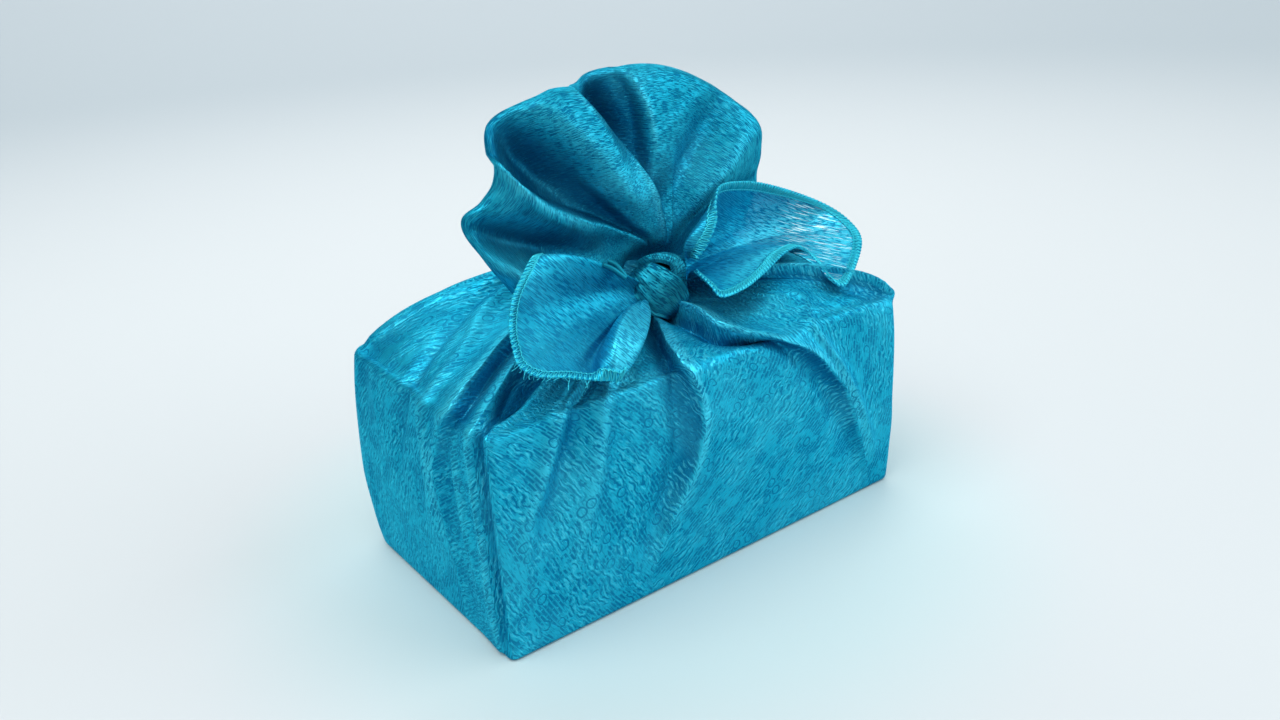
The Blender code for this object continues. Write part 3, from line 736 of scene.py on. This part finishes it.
def fan_points(across, down):
    """Points and painted highlight and shade of the doubled fan: down runs up the front to the rim,
    and down the back.
    """
    angle = FAN_RIM[0, 0] + (FAN_RIM[-1, 0] - FAN_RIM[0, 0]) * across
    spot = np.interp(angle, FAN_RIM[:, 0], np.linspace(0, 1, len(FAN_RIM)))
    reach = curve(FAN_RIM[:, 1], spot)
    front = down <= 0.5
    share = 1 - np.abs(2 * down - 1)
    radius = FAN_NECK + (reach - FAN_NECK) * share
    turned = np.maximum(radius - (reach - FAN_GAP / 2), 0.0) / (FAN_GAP / 2)
    gap = FAN_GAP / 2 * np.sqrt(np.maximum(1 - turned ** 2, 0.0))
    depth, lay = fan_depth(angle, share, radius)
    depth *= np.where(front, 1.0, FAN_BACK)
    depth += WRINKLE * waves(radius * np.radians(angle), radius / 5, FAN_LUMPS, SEEDS["fan"])
    back = FAN_LEAN * radius - depth + np.where(front, -gap, gap)
    way = np.radians(angle)
    points = FAN_CENTRE + np.stack([radius * np.cos(way), back, radius * np.sin(way)], axis=-1)
    return points, lay


def tail_points(tail, across, out):
    """Points of a tail: across runs from ray to ray and out runs from the knot to the hem."""
    belly = curve([ray[:3] for ray in tail.rays], across)
    hem = curve([ray[3:] for ray in tail.rays], across)
    turn = np.radians(tail.first + (tail.last - tail.first) * across)
    round_neck = np.stack([np.zeros(turn.shape), np.cos(turn), np.sin(turn)], axis=-1)
    root = np.array(tail.neck) + TAIL_NECK * round_neck
    pull = 2 * belly - (root + hem) / 2
    out = np.asarray(out, float)[..., None]
    return root * (1 - out) ** 2 + pull * 2 * out * (1 - out) + hem * out ** 2


def sight_axes():
    """The camera's own right, up and backward ways."""
    turn, rise, roll = np.radians((CAMERA_AZIMUTH, CAMERA_ELEVATION, CAMERA_ROLL)).tolist()
    level = math.cos(rise)
    back = Vector((math.sin(turn) * level, -math.cos(turn) * level, math.sin(rise)))
    right = Vector((0, 0, 1)).cross(back).normalized()
    up = back.cross(right)
    return (right * math.cos(roll) + up * math.sin(roll),
            up * math.cos(roll) - right * math.sin(roll), back)


def band_points(band, across, down):
    """Points of a knot band: down runs along its path and across from edge to edge."""
    steps = np.array([row[:3] for row in band.path], float)
    sight = np.array(sight_axes())
    path = steps @ sight
    middle = curve(path, down)
    half = curve([row[3] for row in band.path], down)
    step = 0.01
    run = curve(path, np.minimum(down + step, 1.0)) - curve(path, np.maximum(down - step, 0.0))
    run = unit(run)
    out = middle + sight[2] * band.depth
    out = unit(out - run * np.sum(out * run, axis=-1, keepdims=True))
    side = np.cross(run, out)
    spread = across * 2 - 1
    rise = band.crown * (1 - spread ** 2) - band.curl * smooth(CURL_BEGINS, 1.0, np.abs(spread))
    wide, along = BAND_WAVES
    rise = rise + band.folds * waves(spread * wide, down * along, KNOT_LUMPS, len(band.path))
    width = half * np.sin(spread * math.pi / 2 * BAND_ROUND)
    return KNOT_HEART + middle + side * width[..., None] + out * (rise - band.crown / 2)[..., None]


def hem_frame(tail, across):
    """Places on a tail's edge, the way in from it and the way out of its face."""
    edge = tail_points(tail, across, np.ones(across.shape))
    inward = unit(tail_points(tail, across, np.full(across.shape, 0.97)) - edge)
    run = unit(np.gradient(edge, axis=0))
    return edge, inward, unit(np.cross(run, inward))


def evenly(tail, pitch):
    """Shares along a tail's hem, one for each step of the pitch."""
    fine = np.linspace(*tail.hem, 2000)
    reach = walked(strides(tail_points(tail, fine, np.ones(fine.shape)), 0))
    return np.interp(np.arange(0.0, reach[-1], pitch), reach, fine)


def hem_reach(width, turn):
    """How far in from the edge the hem's round is, at an angle round it."""
    return width / 2 - HEM_PAST + (width / 2) * np.cos(turn)


def hem_points(tail, width):
    """Points of the hem: a flat band round the edge that covers both faces, closed at its ends."""
    across = evenly(tail, HEM_STEP)
    edge, inward, face = hem_frame(tail, across)
    turns = np.linspace(0, 2 * math.pi, HEM_ROUND)
    points = np.array([edge + inward * hem_reach(width, turn) + face * HEM_HALF * math.sin(turn)
                       for turn in turns])
    for end in (0, -1):
        points[:, end] = points[:-1, end].mean(axis=0)
    return points


def stitch_paths(tail, width):
    """The overlock threads: one winds round the hem each way, one runs inside it on each face."""
    paths = []
    across = evenly(tail, STITCH / STITCH_STEPS)
    edge, inward, face = hem_frame(tail, across)
    turns = np.arange(len(across)) * 2 * math.pi / STITCH_STEPS
    for way in (1, -1):
        high = (way * (HEM_HALF + THREAD_OUT) * np.sin(turns))[:, None]
        paths.append(edge + inward * hem_reach(width, turns)[:, None] + face * high)
    for side in (1, -1):
        wide = (width * 0.78 + 0.3 * np.sin(turns))[:, None]
        paths.append(edge + inward * wide + face * side * (HEM_HALF * 0.8 + 0.15))
    return paths


def fray_paths(tail):
    """Loose thread ends that hang from the corner of a hem."""
    draws = np.random.default_rng(SEEDS["frays"])
    paths = []
    for across in np.linspace(*FRAYED, FRAY_COUNT):
        edge, inward, face = hem_frame(tail, across + np.array([0.0, 0.002]))
        way = face[0] * draws.uniform(-0.5, 0.5) - inward[0]
        way += (draws.uniform(-0.8, 0.8), 0, -0.4)
        length = draws.uniform(*FRAY_LENGTHS)
        bend = draws.uniform(-0.8, 0.8, 3)
        shares = np.linspace(0, 1, 5)[:, None]
        paths.append(edge[0] + way * length * shares + bend * shares ** 2)
    return paths


def tubes(name, paths, radius, material, bends=0):
    """Thin threads along paths, as one mesh."""
    data = bpy.data.curves.new(name, "CURVE")
    data.dimensions = "3D"
    data.bevel_depth = radius * MM
    data.bevel_resolution = bends
    data.use_fill_caps = True
    for path in paths:
        line = data.splines.new("POLY")
        line.points.add(len(path) - 1)
        line.points.foreach_set("co", np.column_stack([path * MM, np.ones(len(path))]).ravel())
    clear_selection()
    piece = bpy.data.objects.new(name, data)
    bpy.context.collection.objects.link(piece)
    bpy.context.view_layer.objects.active = piece
    piece.select_set(True)
    bpy.ops.object.convert(target="MESH")
    piece = bpy.context.active_object
    piece.name = piece.data.name = name
    piece.data.materials.append(material)
    bpy.ops.object.shade_smooth()
    return piece


def clear_selection():
    """Deselect everything, so that an operator works on its own piece alone."""
    bpy.ops.object.select_all(action="DESELECT")


def grid(name, points, cloth, material, thickness, panels=None, offset=0.0, lay=None):
    """A sheet from a grid primitive: points has a row for each line of the grid. Cloth holds such a
    grid of UV places for each panel, and panels names the panel of each column of faces. Offset is
    -1 where the points are the outer face, and the last argument is the painted highlight and shade
    at each point."""
    rows, columns = points.shape[:2]
    clear_selection()
    bpy.ops.mesh.primitive_grid_add(x_subdivisions=columns - 1, y_subdivisions=rows - 1, size=1.0)
    piece = bpy.context.active_object
    piece.name = piece.data.name = name
    mesh = piece.data
    places = np.empty(len(mesh.vertices) * 3)
    mesh.vertices.foreach_get("co", places)
    places = places.reshape(-1, 3)
    column = np.rint((places[:, 0] + 0.5) * (columns - 1)).astype(int)
    row = np.rint((places[:, 1] + 0.5) * (rows - 1)).astype(int)
    mesh.vertices.foreach_set("co", (points[row, column] * MM).ravel())
    # Store the painted highlight and shade as a point attribute
    if lay is not None:
        shines = mesh.attributes.new(PAINTED_LIGHT_ATTRIBUTE, "FLOAT", "POINT")
        shines.data.foreach_set("value", np.ascontiguousarray(lay[row, column]))
    layer = mesh.uv_layers[0]
    layer.name = UV
    corners = np.empty(len(mesh.loops), int)
    mesh.loops.foreach_get("vertex_index", corners)
    face = column[corners].reshape(-1, 4).min(axis=1).repeat(4)
    panel = np.zeros(len(corners), int) if panels is None else panels[face]
    layer.data.foreach_set("uv", cloth[panel, row[corners], column[corners]].ravel())
    mesh.materials.append(material)
    bpy.ops.object.mode_set(mode="EDIT")
    bpy.ops.mesh.select_all(action="SELECT")
    bpy.ops.mesh.remove_doubles(threshold=0.00002)
    bpy.ops.mesh.normals_make_consistent(inside=False)
    bpy.ops.object.mode_set(mode="OBJECT")
    bpy.ops.object.shade_smooth()
    if thickness:
        wall = piece.modifiers.new("thickness", "SOLIDIFY")
        wall.thickness = thickness
        wall.offset = offset
        bpy.ops.object.modifier_apply(modifier=wall.name)
    return piece


def dress(piece, with_pieces=()):
    """Attach a sheet and its trims to their body, and hide the imported part that they replace."""
    for one in (piece, *with_pieces):
        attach(one, BODY)
        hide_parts(NODE)


class Number:
    """A number socket of a material. Sums on it add Math nodes."""

    def __init__(self, graph, socket):
        self.graph = graph
        self.socket = socket

    def math(self, operation, *others, swap=False):
        """Add a Math node on this number and others, the other way round where swap is set."""
        values = (*others, self) if swap else (self, *others)
        node = self.graph.node("ShaderNodeMath", {"operation": operation}, dict(enumerate(values)))
        return Number(self.graph, node.outputs[0])

    def __add__(self, other):
        return self.math("ADD", other)

    __radd__ = __add__

    def __sub__(self, other):
        return self.math("SUBTRACT", other)

    def __rsub__(self, other):
        return self.math("SUBTRACT", other, swap=True)

    def __mul__(self, other):
        return self.math("MULTIPLY", other)

    __rmul__ = __mul__

    def ramp(self, low, high):
        """Go from 0 to 1 as the number goes from low to high."""
        inputs = {"Value": self, "From Min": low, "From Max": high}
        node = self.graph.node("ShaderNodeMapRange", {"interpolation_type": "SMOOTHSTEP"}, inputs)
        return Number(self.graph, node.outputs[0])


class Graph:
    """The nodes of one material."""

    def __init__(self, name):
        self.material = bpy.data.materials.new(name)
        self.material.use_nodes = True
        self.tree = self.material.node_tree
        self.shader = self.tree.nodes["Principled BSDF"]

    def node(self, kind, settings=None, inputs=None):
        """Add a node, with its settings first and then its sockets' values or links."""
        node = self.tree.nodes.new(kind)
        for key, value in (settings or {}).items():
            setattr(node, key, value)
        for key, value in (inputs or {}).items():
            self.put(node.inputs[key], value)
        return node

    def put(self, socket, value):
        """Link a socket to a number or another socket, or set its value."""
        if isinstance(value, Number):
            value = value.socket
        if isinstance(value, bpy.types.NodeSocket):
            self.tree.links.new(value, socket)
        else:
            socket.default_value = value

    def stretched(self, vector, size):
        """Coordinates divided by the size of a feature along each way."""
        inverse = (1.0 / size[0], 1.0 / size[1], 1.0)
        settings = {"operation": "MULTIPLY"}
        return self.node("ShaderNodeVectorMath", settings, {0: vector, 1: inverse}).outputs[0]

    def noise(self, vector, size, detail=1.0, roughness=0.5):
        """A soft random pattern whose lumps have the given size along each way."""
        inputs = {"Vector": self.stretched(vector, size), "Scale": 1.0, "Detail": detail,
                  "Roughness": roughness}
        settings = {"noise_dimensions": "2D"}
        return Number(self, self.node("ShaderNodeTexNoise", settings, inputs).outputs[0])

    def blend(self, share, first, second):
        """A colour between two, by a share from 0 to 1."""
        settings = {"data_type": "RGBA", "clamp_factor": True}
        inputs = {0: share, 6: first, 7: second}
        return self.node("ShaderNodeMix", settings, inputs).outputs[2]


def satin(name, colour, shade, shine, figures, sheer):
    """Satin jacquard: slubs along the threads, and woven bars, rings and cloud lines over them,
    with painted glints, painted highlight on cloud and fold crests, painted shade beside the folds,
    and painted backlit streaks on sheer cloth.
    """
    graph = Graph(name)
    cloth = graph.node("ShaderNodeUVMap", {"uv_map": UV}).outputs[0]
    split = graph.node("ShaderNodeSeparateXYZ", {}, {0: cloth})
    first, second = Number(graph, split.outputs[0]), Number(graph, split.outputs[1])
    figured = graph.noise(cloth, WEAVE["region"]).ramp(0.46, 0.54)
    density = graph.noise(cloth, WEAVE["density"])
    slubs = graph.noise(cloth, WEAVE["slub"], roughness=0.4)
    thread = graph.noise(cloth, WEAVE["thread"])
    breaks = graph.noise(cloth, WEAVE["break"])
    tone = graph.noise(cloth, WEAVE["tone"], 2.0)
    dashes = (slubs + density * 0.30).ramp(0.67, 0.74)
    glints = slubs.ramp(0.34, 0.26)

    drift = graph.noise(cloth, WEAVE["drift"], 2.0) * (2 * math.pi * CLOUD_DRIFT)
    lines = (second * (2 * math.pi / CLOUD_PITCH) + drift).math("SINE")
    clouds = lines.ramp(0.3, 0.85) * breaks.ramp(0.43, 0.50)
    # Painted highlight on the raised crests between the dark cloud lines
    cloud_crest_highlight = lines.ramp(-0.25, -0.8) * breaks.ramp(0.40, 0.48) * (1 - figured) * figures

    cells = graph.node("ShaderNodeTexVoronoi", {"voronoi_dimensions": "2D", "feature": "F1"}, {
        "Vector": graph.stretched(cloth, WEAVE["cell"]), "Scale": 1.0, "Randomness": 0.6})
    reach = Number(graph, cells.outputs["Distance"]) + breaks * 0.14
    rings = reach.ramp(0.33, 0.39) * (1 - reach.ramp(0.45, 0.51))
    draw = graph.node("ShaderNodeSeparateColor", {}, {0: cells.outputs["Color"]})
    barred = Number(graph, draw.outputs[0]).ramp(*RING_SHARE)
    rows = graph.node("ShaderNodeTexBrick", {"offset": BAR_OFFSET},
                      {"Vector": cloth, "Scale": 1.0, **BARS})
    bars = (1 - Number(graph, rows.outputs["Fac"])) * density.ramp(0.43, 0.49)
    motif = bars * barred + rings * (1 - barred)

    figure = (clouds * (1 - figured) + motif * figured) * figures
    dark = figure.math("MAXIMUM", dashes * (1.0 - figures * 0.5))
    # Painted shade beside the folds and at the neck and painted highlight on fold crests, from the
    # mesh attribute
    lay = graph.node("ShaderNodeAttribute", {"attribute_name": PAINTED_LIGHT_ATTRIBUTE})
    lay = Number(graph, lay.outputs["Fac"])
    fold_painted_shade = graph.blend(lay.ramp(0.0, -1.0) * 0.8, colour, shade)
    ground = graph.blend(lay.ramp(0.0, 1.0) * 0.55, fold_painted_shade, shine)
    base = graph.blend(dark * 0.85 + thread * 0.12, ground, shade)
    # Painted glints and cloud crest highlights, with random changes of tone, all towards the shine
    # colour
    light = glints * (0.35 - figures * 0.17) + cloud_crest_highlight * 0.38 + tone.ramp(0.35, 0.75) * 0.15
    base = graph.blend(light, base, shine)
    if sheer:
        # Painted backlight: bright threads where light shines through the sheer tail
        painted_backlight = graph.noise(cloth, WEAVE["backlit_streak"]).ramp(0.62, 0.68) * first.ramp(*BACKLIGHT_STREAKS_BEGIN)
        base = graph.blend(painted_backlight, base, PAINTED_BACKLIGHT_COLOUR)
        graph.put(graph.shader.inputs["Alpha"], 0.84 + dark * 0.16)
    graph.put(graph.shader.inputs["Base Color"], base)
    graph.put(graph.shader.inputs["Roughness"], 0.36 + dark * 0.18 + thread * 0.10)
    height = thread * 0.30 - dark * 0.7 + cloud_crest_highlight * 0.3
    bump = graph.node("ShaderNodeBump", {}, {**RELIEF, "Height": height})
    graph.put(graph.shader.inputs["Normal"], bump.outputs[0])
    for key, value in GLOSS.items():
        graph.put(graph.shader.inputs[key], value)
    return graph.material


def unit_grid(size):
    """Shares from 0 to 1 across and down, for each point of a grid of that many lines."""
    return np.meshgrid(np.linspace(0, 1, size[0]), np.linspace(0, 1, size[1]))


def plain_cloth(points, turn=0.0):
    """Cloth coordinates in millimetres for a grid of points, from its spacing along and down."""
    first, second = walked(strides(points, 1).mean(axis=0)), walked(strides(points, 0).mean(axis=1))
    return turned(np.stack(np.meshgrid(first, second), axis=-1), turn)[None]


def hung_cloth(points, turn):
    """Cloth coordinates in millimetres for a sheet that hangs across the camera's sight."""
    right, up = np.array(sight_axes()[:2])
    return turned(np.stack([points @ right, points @ up], axis=-1), turn)[None]


def turned(cloth, turn):
    """Turn UV places by an angle, so that the threads cross the piece at that angle."""
    angle = math.radians(turn)
    first, second = cloth[..., 0], cloth[..., 1]
    return np.stack([first * math.cos(angle) + second * math.sin(angle),
                     second * math.cos(angle) - first * math.sin(angle)], axis=-1)


def material(name):
    """One of the wrap's materials, made from the sidebar's colours when it is first asked for."""
    if name in bpy.data.materials:
        return bpy.data.materials[name]
    settings = bpy.context.scene.wrap_settings
    # The brightness paints shade on the knot and the fan and light on the tails and hems
    figures, painted_brightness = SATINS[name]
    ground = settings.hem_colour if name == "overlock_thread" else settings.cloth_colour
    colour, shade, shine = (tuple(channel * painted_brightness for channel in tint[:3]) + (1.0,)
                            for tint in (ground, settings.slub_and_shade_colour, settings.shine_colour))
    return satin(name, colour, shade, shine, figures, name == "sheer_satin_painted_light")


class WrapSettings(bpy.types.PropertyGroup):
    """Sizes and colours of the wrap."""

    cloth_thickness: bpy.props.FloatProperty(
        name="Cloth thickness", description="Thickness of the satin", default=0.0005,
        min=0.0002, max=0.003, subtype="DISTANCE", unit="LENGTH")
    hem_width: bpy.props.FloatProperty(
        name="Hem width", description="Width of the overlocked hem", default=0.0045,
        min=0.001, max=0.02, subtype="DISTANCE", unit="LENGTH")
    cloth_colour: bpy.props.FloatVectorProperty(
        name="Cloth", description="Colour of the satin", default=(0.011, 0.38, 0.56, 1.0),
        size=4, min=0.0, max=1.0, subtype="COLOR")
    # Besides the slubs and motifs, this colour paints the shade beside the folds
    slub_and_shade_colour: bpy.props.FloatVectorProperty(
        name="Slubs", description="Colour of the dark slubs and motifs",
        default=(0.0, 0.13, 0.29, 1.0), size=4, min=0.0, max=1.0, subtype="COLOR")
    shine_colour: bpy.props.FloatVectorProperty(
        name="Shine", description="Colour where the threads catch the light",
        default=(0.08, 0.68, 0.85, 1.0), size=4, min=0.0, max=1.0, subtype="COLOR")
    hem_colour: bpy.props.FloatVectorProperty(
        name="Hem", description="Colour of the overlock thread", default=(0.04, 0.54, 0.66, 1.0),
        size=4, min=0.0, max=1.0, subtype="COLOR")
    floor_colour: bpy.props.FloatVectorProperty(
        name="Floor", description="Colour of the floor", default=(0.545, 0.585, 0.605, 1.0),
        size=4, min=0.0, max=1.0, subtype="COLOR")


class WRAP_OT_body(bpy.types.Operator):
    """Add the cloth over the box, from the neck under the knot to the bottom"""

    bl_idname = "wrap.body"
    bl_label = "Wrapped Body"

    def execute(self, context):
        settings = context.scene.wrap_settings
        places, paths = wrap_places(), wrap_paths()
        points = np.array([wrap_row(places, path) for path in paths])
        points = np.concatenate([points, points[:, :1]], axis=1)
        points, lay = points[..., :3], points[..., 3]
        points[0] = points[0].mean(axis=0)
        points[-1] = points[-1].mean(axis=0)
        down = walked(strides(points, 0).mean(axis=1))
        reach = np.array([walked(row) for row in strides(points, 1)])
        first = np.append(places, ROUND)
        edges, cloth = wrap_edges(), []
        for index, (start, turn) in enumerate(edges):
            end = edges[index + 1][0] if index + 1 < len(edges) else ROUND
            middle = np.searchsorted(first, (start + end) / 2)
            across = reach - reach[:, middle:middle + 1]
            flat = np.stack([across, np.broadcast_to(down[:, None], across.shape)], axis=-1)
            cloth.append(turned(flat, turn) + index * PANEL_SHIFT)
        panels = np.searchsorted([start for start, turn in edges], first[:-1] + 0.01) - 1
        piece = grid("wrapped_body", points, np.array(cloth), material("figured_satin"),
                     settings.cloth_thickness, panels, -1.0, lay)
        dress(piece)
        return {"FINISHED"}


class WRAP_OT_fan(bpy.types.Operator):
    """Add the fan of doubled cloth that stands behind the knot"""

    bl_idname = "wrap.fan"
    bl_label = "Fan"

    def execute(self, context):
        settings = context.scene.wrap_settings
        points, lay = fan_points(*unit_grid(FAN_GRID))
        # The fan's satin is a darker copy of the cloth: painted shade
        piece = grid("fan", points, plain_cloth(points) * FAN_WEAVE, material("fan_satin_painted_shade"),
                     settings.cloth_thickness, lay=lay)
        dress(piece)
        return {"FINISHED"}


class WRAP_OT_tails(bpy.types.Operator):
    """Add the two tails at the sides of the knot"""

    bl_idname = "wrap.tails"
    bl_label = "Tails"

    def execute(self, context):
        settings = context.scene.wrap_settings
        width = settings.hem_width / MM
        # Each tail's satin is a brighter copy of the cloth: painted light
        for name, tail, flat, satin_name, turn in (
            ("left_tail", LEFT_TAIL, (0.066, 0.062), "plain_satin_painted_light", -38.0),
            ("right_tail", RIGHT_TAIL, (0.085, 0.07), "sheer_satin_painted_light", -14.0),
        ):
            across, out = unit_grid(TAIL_GRID)
            points = tail_points(tail, across, out)
            # Painted highlight on each tail's bright strips and painted shade in its hollows
            lay = curve(tail.lay, across) * smooth(*TAIL_PAINTED_LIGHT_BEGINS, out)
            lay *= 1 - 0.3 * smooth(*TAIL_PAINTED_LIGHT_ENDS, out)
            piece = grid(name, points, hung_cloth(points, turn), material(satin_name),
                         settings.cloth_thickness, lay=lay)
            points = hem_points(tail, width)
            cloth, thread = plain_cloth(points, 90.0), material("overlock_thread")
            trims = [grid(name + "_hem", points, cloth, material("plain_satin_painted_light"), 0.0),
                     tubes(name + "_stitches", stitch_paths(tail, width), THREAD_RADIUS, thread)]
            if tail is LEFT_TAIL:
                trims.append(tubes(name + "_frays", fray_paths(tail), FRAY_RADIUS, thread))
            dress(piece, with_pieces=trims)
        return {"FINISHED"}


class WRAP_OT_knot(bpy.types.Operator):
    """Add the bands of the knot"""

    bl_idname = "wrap.knot"
    bl_label = "Knot"

    def execute(self, context):
        settings = context.scene.wrap_settings
        for band in BANDS:
            points = band_points(band, *unit_grid(BAND_GRID))
            cloth = plain_cloth(points, band.turn) * KNOT_WEAVE
            # The knot's satin is a darker copy of the cloth: painted shade
            satin_name, thickness = "knot_satin_painted_shade", settings.cloth_thickness
            piece = grid(band.name, points, cloth, material(satin_name), thickness)
            trims = []
            if band.name == "knot_back":
                rolls = [curve(roll, np.linspace(0, 1, 9)) for roll in HEM_ROLLS]
                trims = [tubes("knot_hem_roll", rolls, ROLL_RADIUS, material(satin_name), 2)]
            dress(piece, with_pieces=trims)
        return {"FINISHED"}


class WRAP_OT_stage(bpy.types.Operator):
    """Add the pale floor, the soft lights and the camera"""

    bl_idname = "wrap.stage"
    bl_label = "Stage"

    def execute(self, context):
        settings = context.scene.wrap_settings
        clear_selection()
        bpy.ops.mesh.primitive_plane_add(size=FLOOR_SIZE)
        floor = context.active_object
        floor.name = "floor"
        graph = Graph("pale_floor")
        spot = graph.node("ShaderNodeTexCoord").outputs["Object"]
        away = graph.node("ShaderNodeVectorMath", {"operation": "LENGTH"}, {0: spot})
        away = Number(graph, away.outputs["Value"])
        # Painted light on the floor: a teal shadow and bounce light round the cloth's foot, and a
        # falloff into the distance
        near = tuple(settings.floor_colour)
        far = tuple(channel * shade for channel, shade in zip(near, FLOOR_PAINTED_FALLOFF))
        foot = tuple(channel * shade for channel, shade in zip(near, FLOOR_PAINTED_TEAL_SHADOW))
        ground = graph.blend(away.ramp(*TEAL_SHADOW_REACH), foot, near)
        ground = graph.blend(away.ramp(*FALLOFF_REACH), ground, far)
        graph.put(graph.shader.inputs["Base Color"], ground)
        graph.shader.inputs["Roughness"].default_value = 0.6
        floor.data.materials.append(graph.material)
        for name, (way, power, colour) in LIGHTS.items():
            bpy.ops.object.light_add(type="SUN", location=way)
            lamp = context.active_object
            lamp.name = name
            lamp.data.angle = math.radians(LIGHT_SPREAD)
            lamp.data.energy = power
            lamp.data.color = colour
            lamp.rotation_euler = Vector(way).to_track_quat("Z", "Y").to_euler()
        world = context.scene.world or bpy.data.worlds.new("studio")
        context.scene.world = world
        world.use_nodes = True
        tree = world.node_tree
        sky = tree.nodes["Background"]
        sky.inputs[0].default_value = SKY_COLOUR
        sky.inputs[1].default_value = SKY_STRENGTH
        seen = tree.nodes.new("ShaderNodeBackground")
        seen.inputs[0].default_value = SKY_SEEN
        both = tree.nodes.new("ShaderNodeMixShader")
        rays = tree.nodes.new("ShaderNodeLightPath")
        for output, socket in (
            (rays.outputs["Is Camera Ray"], both.inputs[0]),
            (sky.outputs[0], both.inputs[1]),
            (seen.outputs[0], both.inputs[2]),
            (both.outputs[0], tree.nodes["World Output"].inputs[0]),
        ):
            tree.links.new(output, socket)
        bpy.ops.object.camera_add(location=CAMERA_PLACE)
        camera = context.active_object
        camera.name = "camera"
        camera.data.lens = CAMERA_LENS
        camera.data.clip_start, camera.data.clip_end = 0.01, 50.0
        camera.rotation_euler = Matrix(sight_axes()).transposed().to_euler()
        context.scene.camera = camera
        context.scene.view_settings.view_transform = "Standard"
        return {"FINISHED"}


class WRAP_PT_panel(bpy.types.Panel):
    """The wrap's sizes, colours and pieces"""

    bl_label = "Knotted Satin Wrap"
    bl_idname = "WRAP_PT_panel"
    bl_space_type = "VIEW_3D"
    bl_region_type = "UI"
    bl_category = "Wrap"

    def draw(self, context):
        settings = context.scene.wrap_settings
        for key in WrapSettings.__annotations__:
            self.layout.prop(settings, key)
        for operator in OPERATORS:
            self.layout.operator(operator.bl_idname)


OPERATORS = (WRAP_OT_body, WRAP_OT_fan, WRAP_OT_tails, WRAP_OT_knot, WRAP_OT_stage)
CLASSES = (WrapSettings, *OPERATORS, WRAP_PT_panel)


def register():
    for one in CLASSES:
        bpy.utils.register_class(one)
    bpy.types.Scene.wrap_settings = bpy.props.PointerProperty(type=WrapSettings)


def unregister():
    del bpy.types.Scene.wrap_settings
    for one in reversed(CLASSES):
        bpy.utils.unregister_class(one)


def main():
    register()
    bpy.ops.wrap.body()
    bpy.ops.wrap.fan()
    bpy.ops.wrap.tails()
    bpy.ops.wrap.knot()
    bpy.ops.wrap.stage()


if __name__ == "__main__":
    main()
